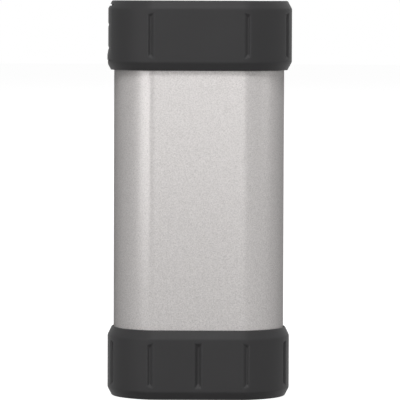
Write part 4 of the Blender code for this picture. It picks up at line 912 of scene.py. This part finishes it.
class WARMER_OT_ports(bpy.types.Operator):
    """Build the two steel sockets behind the flap, with their tongues and gold contacts"""

    bl_idname = "warmer.ports"
    bl_label = "Ports"

    def execute(self, context):
        wall = context.scene.warmer_case.socket_wall
        self.sleeve("usb_a_socket", "wide_socket_sleeve", corner=0.0006, wall=wall)
        self.sleeve("usb_c_socket", "small_socket_sleeve", corner=0.0012, wall=wall)
        self.tongue("usb_a_tongue", "wide_tongue", count=4, width=0.0011, faces=1)
        self.tongue("usb_c_tongue", "small_tongue", count=8, width=0.0003, faces=2)
        return {"FINISHED"}

    def sleeve(self, node, name, corner, wall):
        """Sleeve with a closed back: a round-cornered outline carried along its inside, then its outside."""
        low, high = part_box(node)
        size = high - low
        back = size.x - wall
        profile = rounded([(-wall * 1.4, back), (-wall, back), (-wall, 0), (0, 0), (0, size.x),
                           (-wall, size.x)], wall / 4)
        grid = capped(carried(block_outline(size.y, size.z, corner), profile))
        grid = stood(grid, "X", (low.x, 0, (low.z + high.z) / 2))
        finished(name, [grid], "case", "socket_steel", [node])

    def tongue(self, node, name, count, width, faces):
        """Tongue as a rounded block, and strips spaced evenly across it, half sunk in one face or both."""
        low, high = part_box(node)
        soft = (high.z - low.z) / 4
        finished(name, [block_grid(low, high, soft, along="X", edge=soft / 2)], "case", "chip_black", [node])
        sunk = 0.00005
        start, end = low.x + soft * 2, high.x - soft
        strips = []
        for z in (low.z, high.z)[:faces]:
            for y in np.linspace(low.y, high.y, count + 2)[1:-1]:
                strips.append(block_grid((start, y - width / 2, z - sunk), (end, y + width / 2, z + sunk),
                                         sunk / 2, along="X", edge=sunk / 4))
        finished(f"{name}_contacts", strips, "case", "nickel", material=MATERIALS["contact_gold"])


class WARMER_OT_button(bpy.types.Operator):
    """Build the dished power button, its trim ring and the light pipe"""

    bl_idname = "warmer.button"
    bl_label = "Button and lights"

    def execute(self, context):
        place = (BUTTON_X, 0, BUTTON_Z)
        flange = BUTTON_HIGH.x - BUTTON_X
        back, step, face = BUTTON_LOW.y, BUTTON_LOW.y + FLANGE_THICK, BUTTON_HIGH.y
        side = rounded([(flange / 2, back), (flange, back), (flange, step), (CAP_RADIUS, step),
                        (CAP_RADIUS, face), (DISH_RADIUS, face)], CAP_SOFT)
        across = np.linspace(DISH_RADIUS, DISH_RADIUS / 8, 10)
        bowl = np.stack([across, face - DISH_DEPTH * (1 - (across / DISH_RADIUS) ** 2) ** 2], 1)
        grid = capped(carried(round_outline(72), np.concatenate([side[:-1], bowl])), steps=2)
        finished("button_cap", [stood(grid, "Y", place)], "button", "button_plastic", ["power_button"])
        hole, low, high = CAP_RADIUS + FIT_GAP, TRIM_LOW.y, TRIM_HIGH.y
        ring = rounded([(hole, low), (TRIM_RADIUS, low), (TRIM_RADIUS, high), (hole + TRIM_SOFT, high),
                        (hole, high - TRIM_SOFT * 2)], TRIM_SOFT, closed=True)
        finished("trim_ring", [stood(carried(round_outline(72), ring), "Y", place)], "case", "trim_plastic",
                 ["button_trim"], closed=True)
        self.light_pipe()
        return {"FINISHED"}

    def light_pipe(self):
        """Clear bar behind the wall with a round-ended pin out to each light's hole."""
        back = GUIDE_LOW.y + LIGHT_BAR
        far = (GUIDE_HIGH.x, back, GUIDE_HIGH.z)
        grids = [block_grid(GUIDE_LOW, far, LIGHT_RADIUS, along="Y", edge=FIT_GAP)]
        for x in light_places():
            grids.append(rod_grid((x, 0, BUTTON_Z), back - FIT_GAP, GUIDE_HIGH.y, LIGHT_RADIUS, edge=FIT_GAP))
        finished("light_pipe", grids, "case", "clear_plastic", ["light_guide"])


class WARMER_OT_stage(bpy.types.Operator):
    """Make the ground, the lamps, the surroundings and the camera"""

    bl_idname = "warmer.stage"
    bl_label = "Stage"

    def execute(self, context):
        studio = context.scene.warmer_studio
        context.scene.view_settings.view_transform = "Standard"
        self.ground(studio)
        self.world(context, studio)
        for name, turn, rise, away, size, power in (
                ("key", 2, 6, 3.0, 2.0, studio.key_power),
                ("top", -5, 55, 2.2, 0.7, studio.top_power),
                ("strip", -52, 0, 1.3, 0.7, studio.strip_power),
                ("edge", 86, 10, 1.2, 0.4, studio.edge_power),
                ("rear", 170, 50, 3.0, 1.4, studio.rear_power)):
            self.lamp(name, math.radians(turn), math.radians(rise), away, size, power)
        self.camera(context, studio)
        return {"FINISHED"}

    def ground(self, studio):
        """Wide white ground that still takes the object's shadow."""
        mesh = bpy.data.meshes.new("ground")
        reach = 6.0
        mesh.from_pydata([(-reach, -reach, 0), (reach, -reach, 0), (reach, reach, 0), (-reach, reach, 0)],
                         [], [(0, 1, 2, 3)])
        ground = placed("ground", mesh)
        material = bpy.data.materials.new("white ground")
        material.use_nodes = True
        tree = material.node_tree
        shader = tree.nodes["Principled BSDF"]
        shader.inputs["Base Color"].default_value = (*[studio.ground_tone] * 3, 1)
        shader.inputs["Roughness"].default_value = 0.9
        shader.inputs["Specular IOR Level"].default_value = 0.0
        glow = tree.nodes.new("ShaderNodeEmission")
        add = tree.nodes.new("ShaderNodeAddShader")
        lift = math_node(tree, "MULTIPLY", self.seen(tree), studio.ground_lift)
        tree.links.new(lift, glow.inputs["Strength"])
        tree.links.new(shader.outputs[0], add.inputs[0])
        tree.links.new(glow.outputs[0], add.inputs[1])
        tree.links.new(add.outputs[0], tree.nodes["Material Output"].inputs["Surface"])
        mesh.materials.append(material)

    def seen(self, tree):
        """1 for camera, glossy and transmission rays, 0 for the others."""
        path = tree.nodes.new("ShaderNodeLightPath")
        sharp = math_node(tree, "MAXIMUM", path.outputs["Is Glossy Ray"], path.outputs["Is Transmission Ray"])
        return math_node(tree, "MAXIMUM", path.outputs["Is Camera Ray"], sharp)

    def world(self, context, studio):
        """White surroundings for the camera and for reflections, and an even soft light for the rest."""
        world = bpy.data.worlds.new("studio")
        context.scene.world = world
        world.use_nodes = True
        tree = world.node_tree
        background = tree.nodes["Background"]
        background.inputs["Color"].default_value = (1, 1, 1, 1)
        gain = math_node(tree, "MULTIPLY_ADD", self.seen(tree), 1 - studio.ambient, studio.ambient)
        tree.links.new(gain, background.inputs["Strength"])

    def lamp(self, name, turn, rise, away, size, power):
        """Square area lamp aimed at the middle of the case, from a turn off the front and a rise.

        The strip only makes the highlight on the left shoulder, so it is left out of diffuse light.
        """
        light = bpy.data.lights.new(name, "AREA")
        light.shape = "SQUARE"
        light.size = size
        light.energy = power
        lamp = placed(name, light)
        aim = Euler((math.pi / 2 - rise, 0, turn))
        lamp.rotation_euler = aim
        lamp.location = aim.to_matrix() @ Vector((0, 0, away)) + (CAD_BOX[0] + CAD_BOX[1]) / 2
        lamp.visible_diffuse = name != "strip"

    def camera(self, context, studio):
        """Long lens almost level with the top, aimed at the middle of the front."""
        data = bpy.data.cameras.new("camera")
        data.lens = studio.lens
        data.sensor_width = 36
        data.clip_start, data.clip_end = 0.1, 50
        camera = placed("camera", data)
        centre_x, centre_z = 0.00017, 0.05935
        camera.location = (centre_x, -studio.camera_distance, studio.camera_height)
        drop = math.atan((studio.camera_height - centre_z) / (studio.camera_distance + UPPER_LOW.y))
        camera.rotation_euler = Euler((math.pi / 2 - drop, math.radians(studio.camera_roll), 0))
        context.scene.camera = camera


class WARMER_PT_looks(bpy.types.Panel):
    """Settings and steps of the hand warmer's looks"""

    bl_idname = "WARMER_PT_looks"
    bl_label = "Hand warmer"
    bl_space_type = "VIEW_3D"
    bl_region_type = "UI"
    bl_category = "Hand warmer"

    def draw(self, context):
        for settings in (context.scene.warmer_case, context.scene.warmer_rubber,
                         context.scene.warmer_studio):
            box = self.layout.box()
            for key in settings.__annotations__:
                box.prop(settings, key)
        for step in STEPS:
            self.layout.operator(step.bl_idname)


STEPS = (WARMER_OT_finishes, WARMER_OT_tube, WARMER_OT_bumpers, WARMER_OT_lid, WARMER_OT_cover,
         WARMER_OT_ports, WARMER_OT_button, WARMER_OT_stage)
SETTINGS = {"warmer_case": WarmerCaseSettings, "warmer_rubber": WarmerRubberSettings,
            "warmer_studio": WarmerStudioSettings}


def register():
    """Register the settings, the steps and the panel."""
    for cls in (*SETTINGS.values(), *STEPS, WARMER_PT_looks):
        bpy.utils.register_class(cls)
    for name, cls in SETTINGS.items():
        setattr(bpy.types.Scene, name, bpy.props.PointerProperty(type=cls))


def unregister():
    """Take away what register added."""
    for name in SETTINGS:
        delattr(bpy.types.Scene, name)
    for cls in (WARMER_PT_looks, *STEPS[::-1], *SETTINGS.values()):
        bpy.utils.unregister_class(cls)


def main():
    """Build everything in order."""
    register()
    for step in (bpy.ops.warmer.finishes, bpy.ops.warmer.tube, bpy.ops.warmer.bumpers, bpy.ops.warmer.lid,
                 bpy.ops.warmer.cover, bpy.ops.warmer.ports, bpy.ops.warmer.button, bpy.ops.warmer.stage):
        step()


if __name__ == "__main__":
    main()
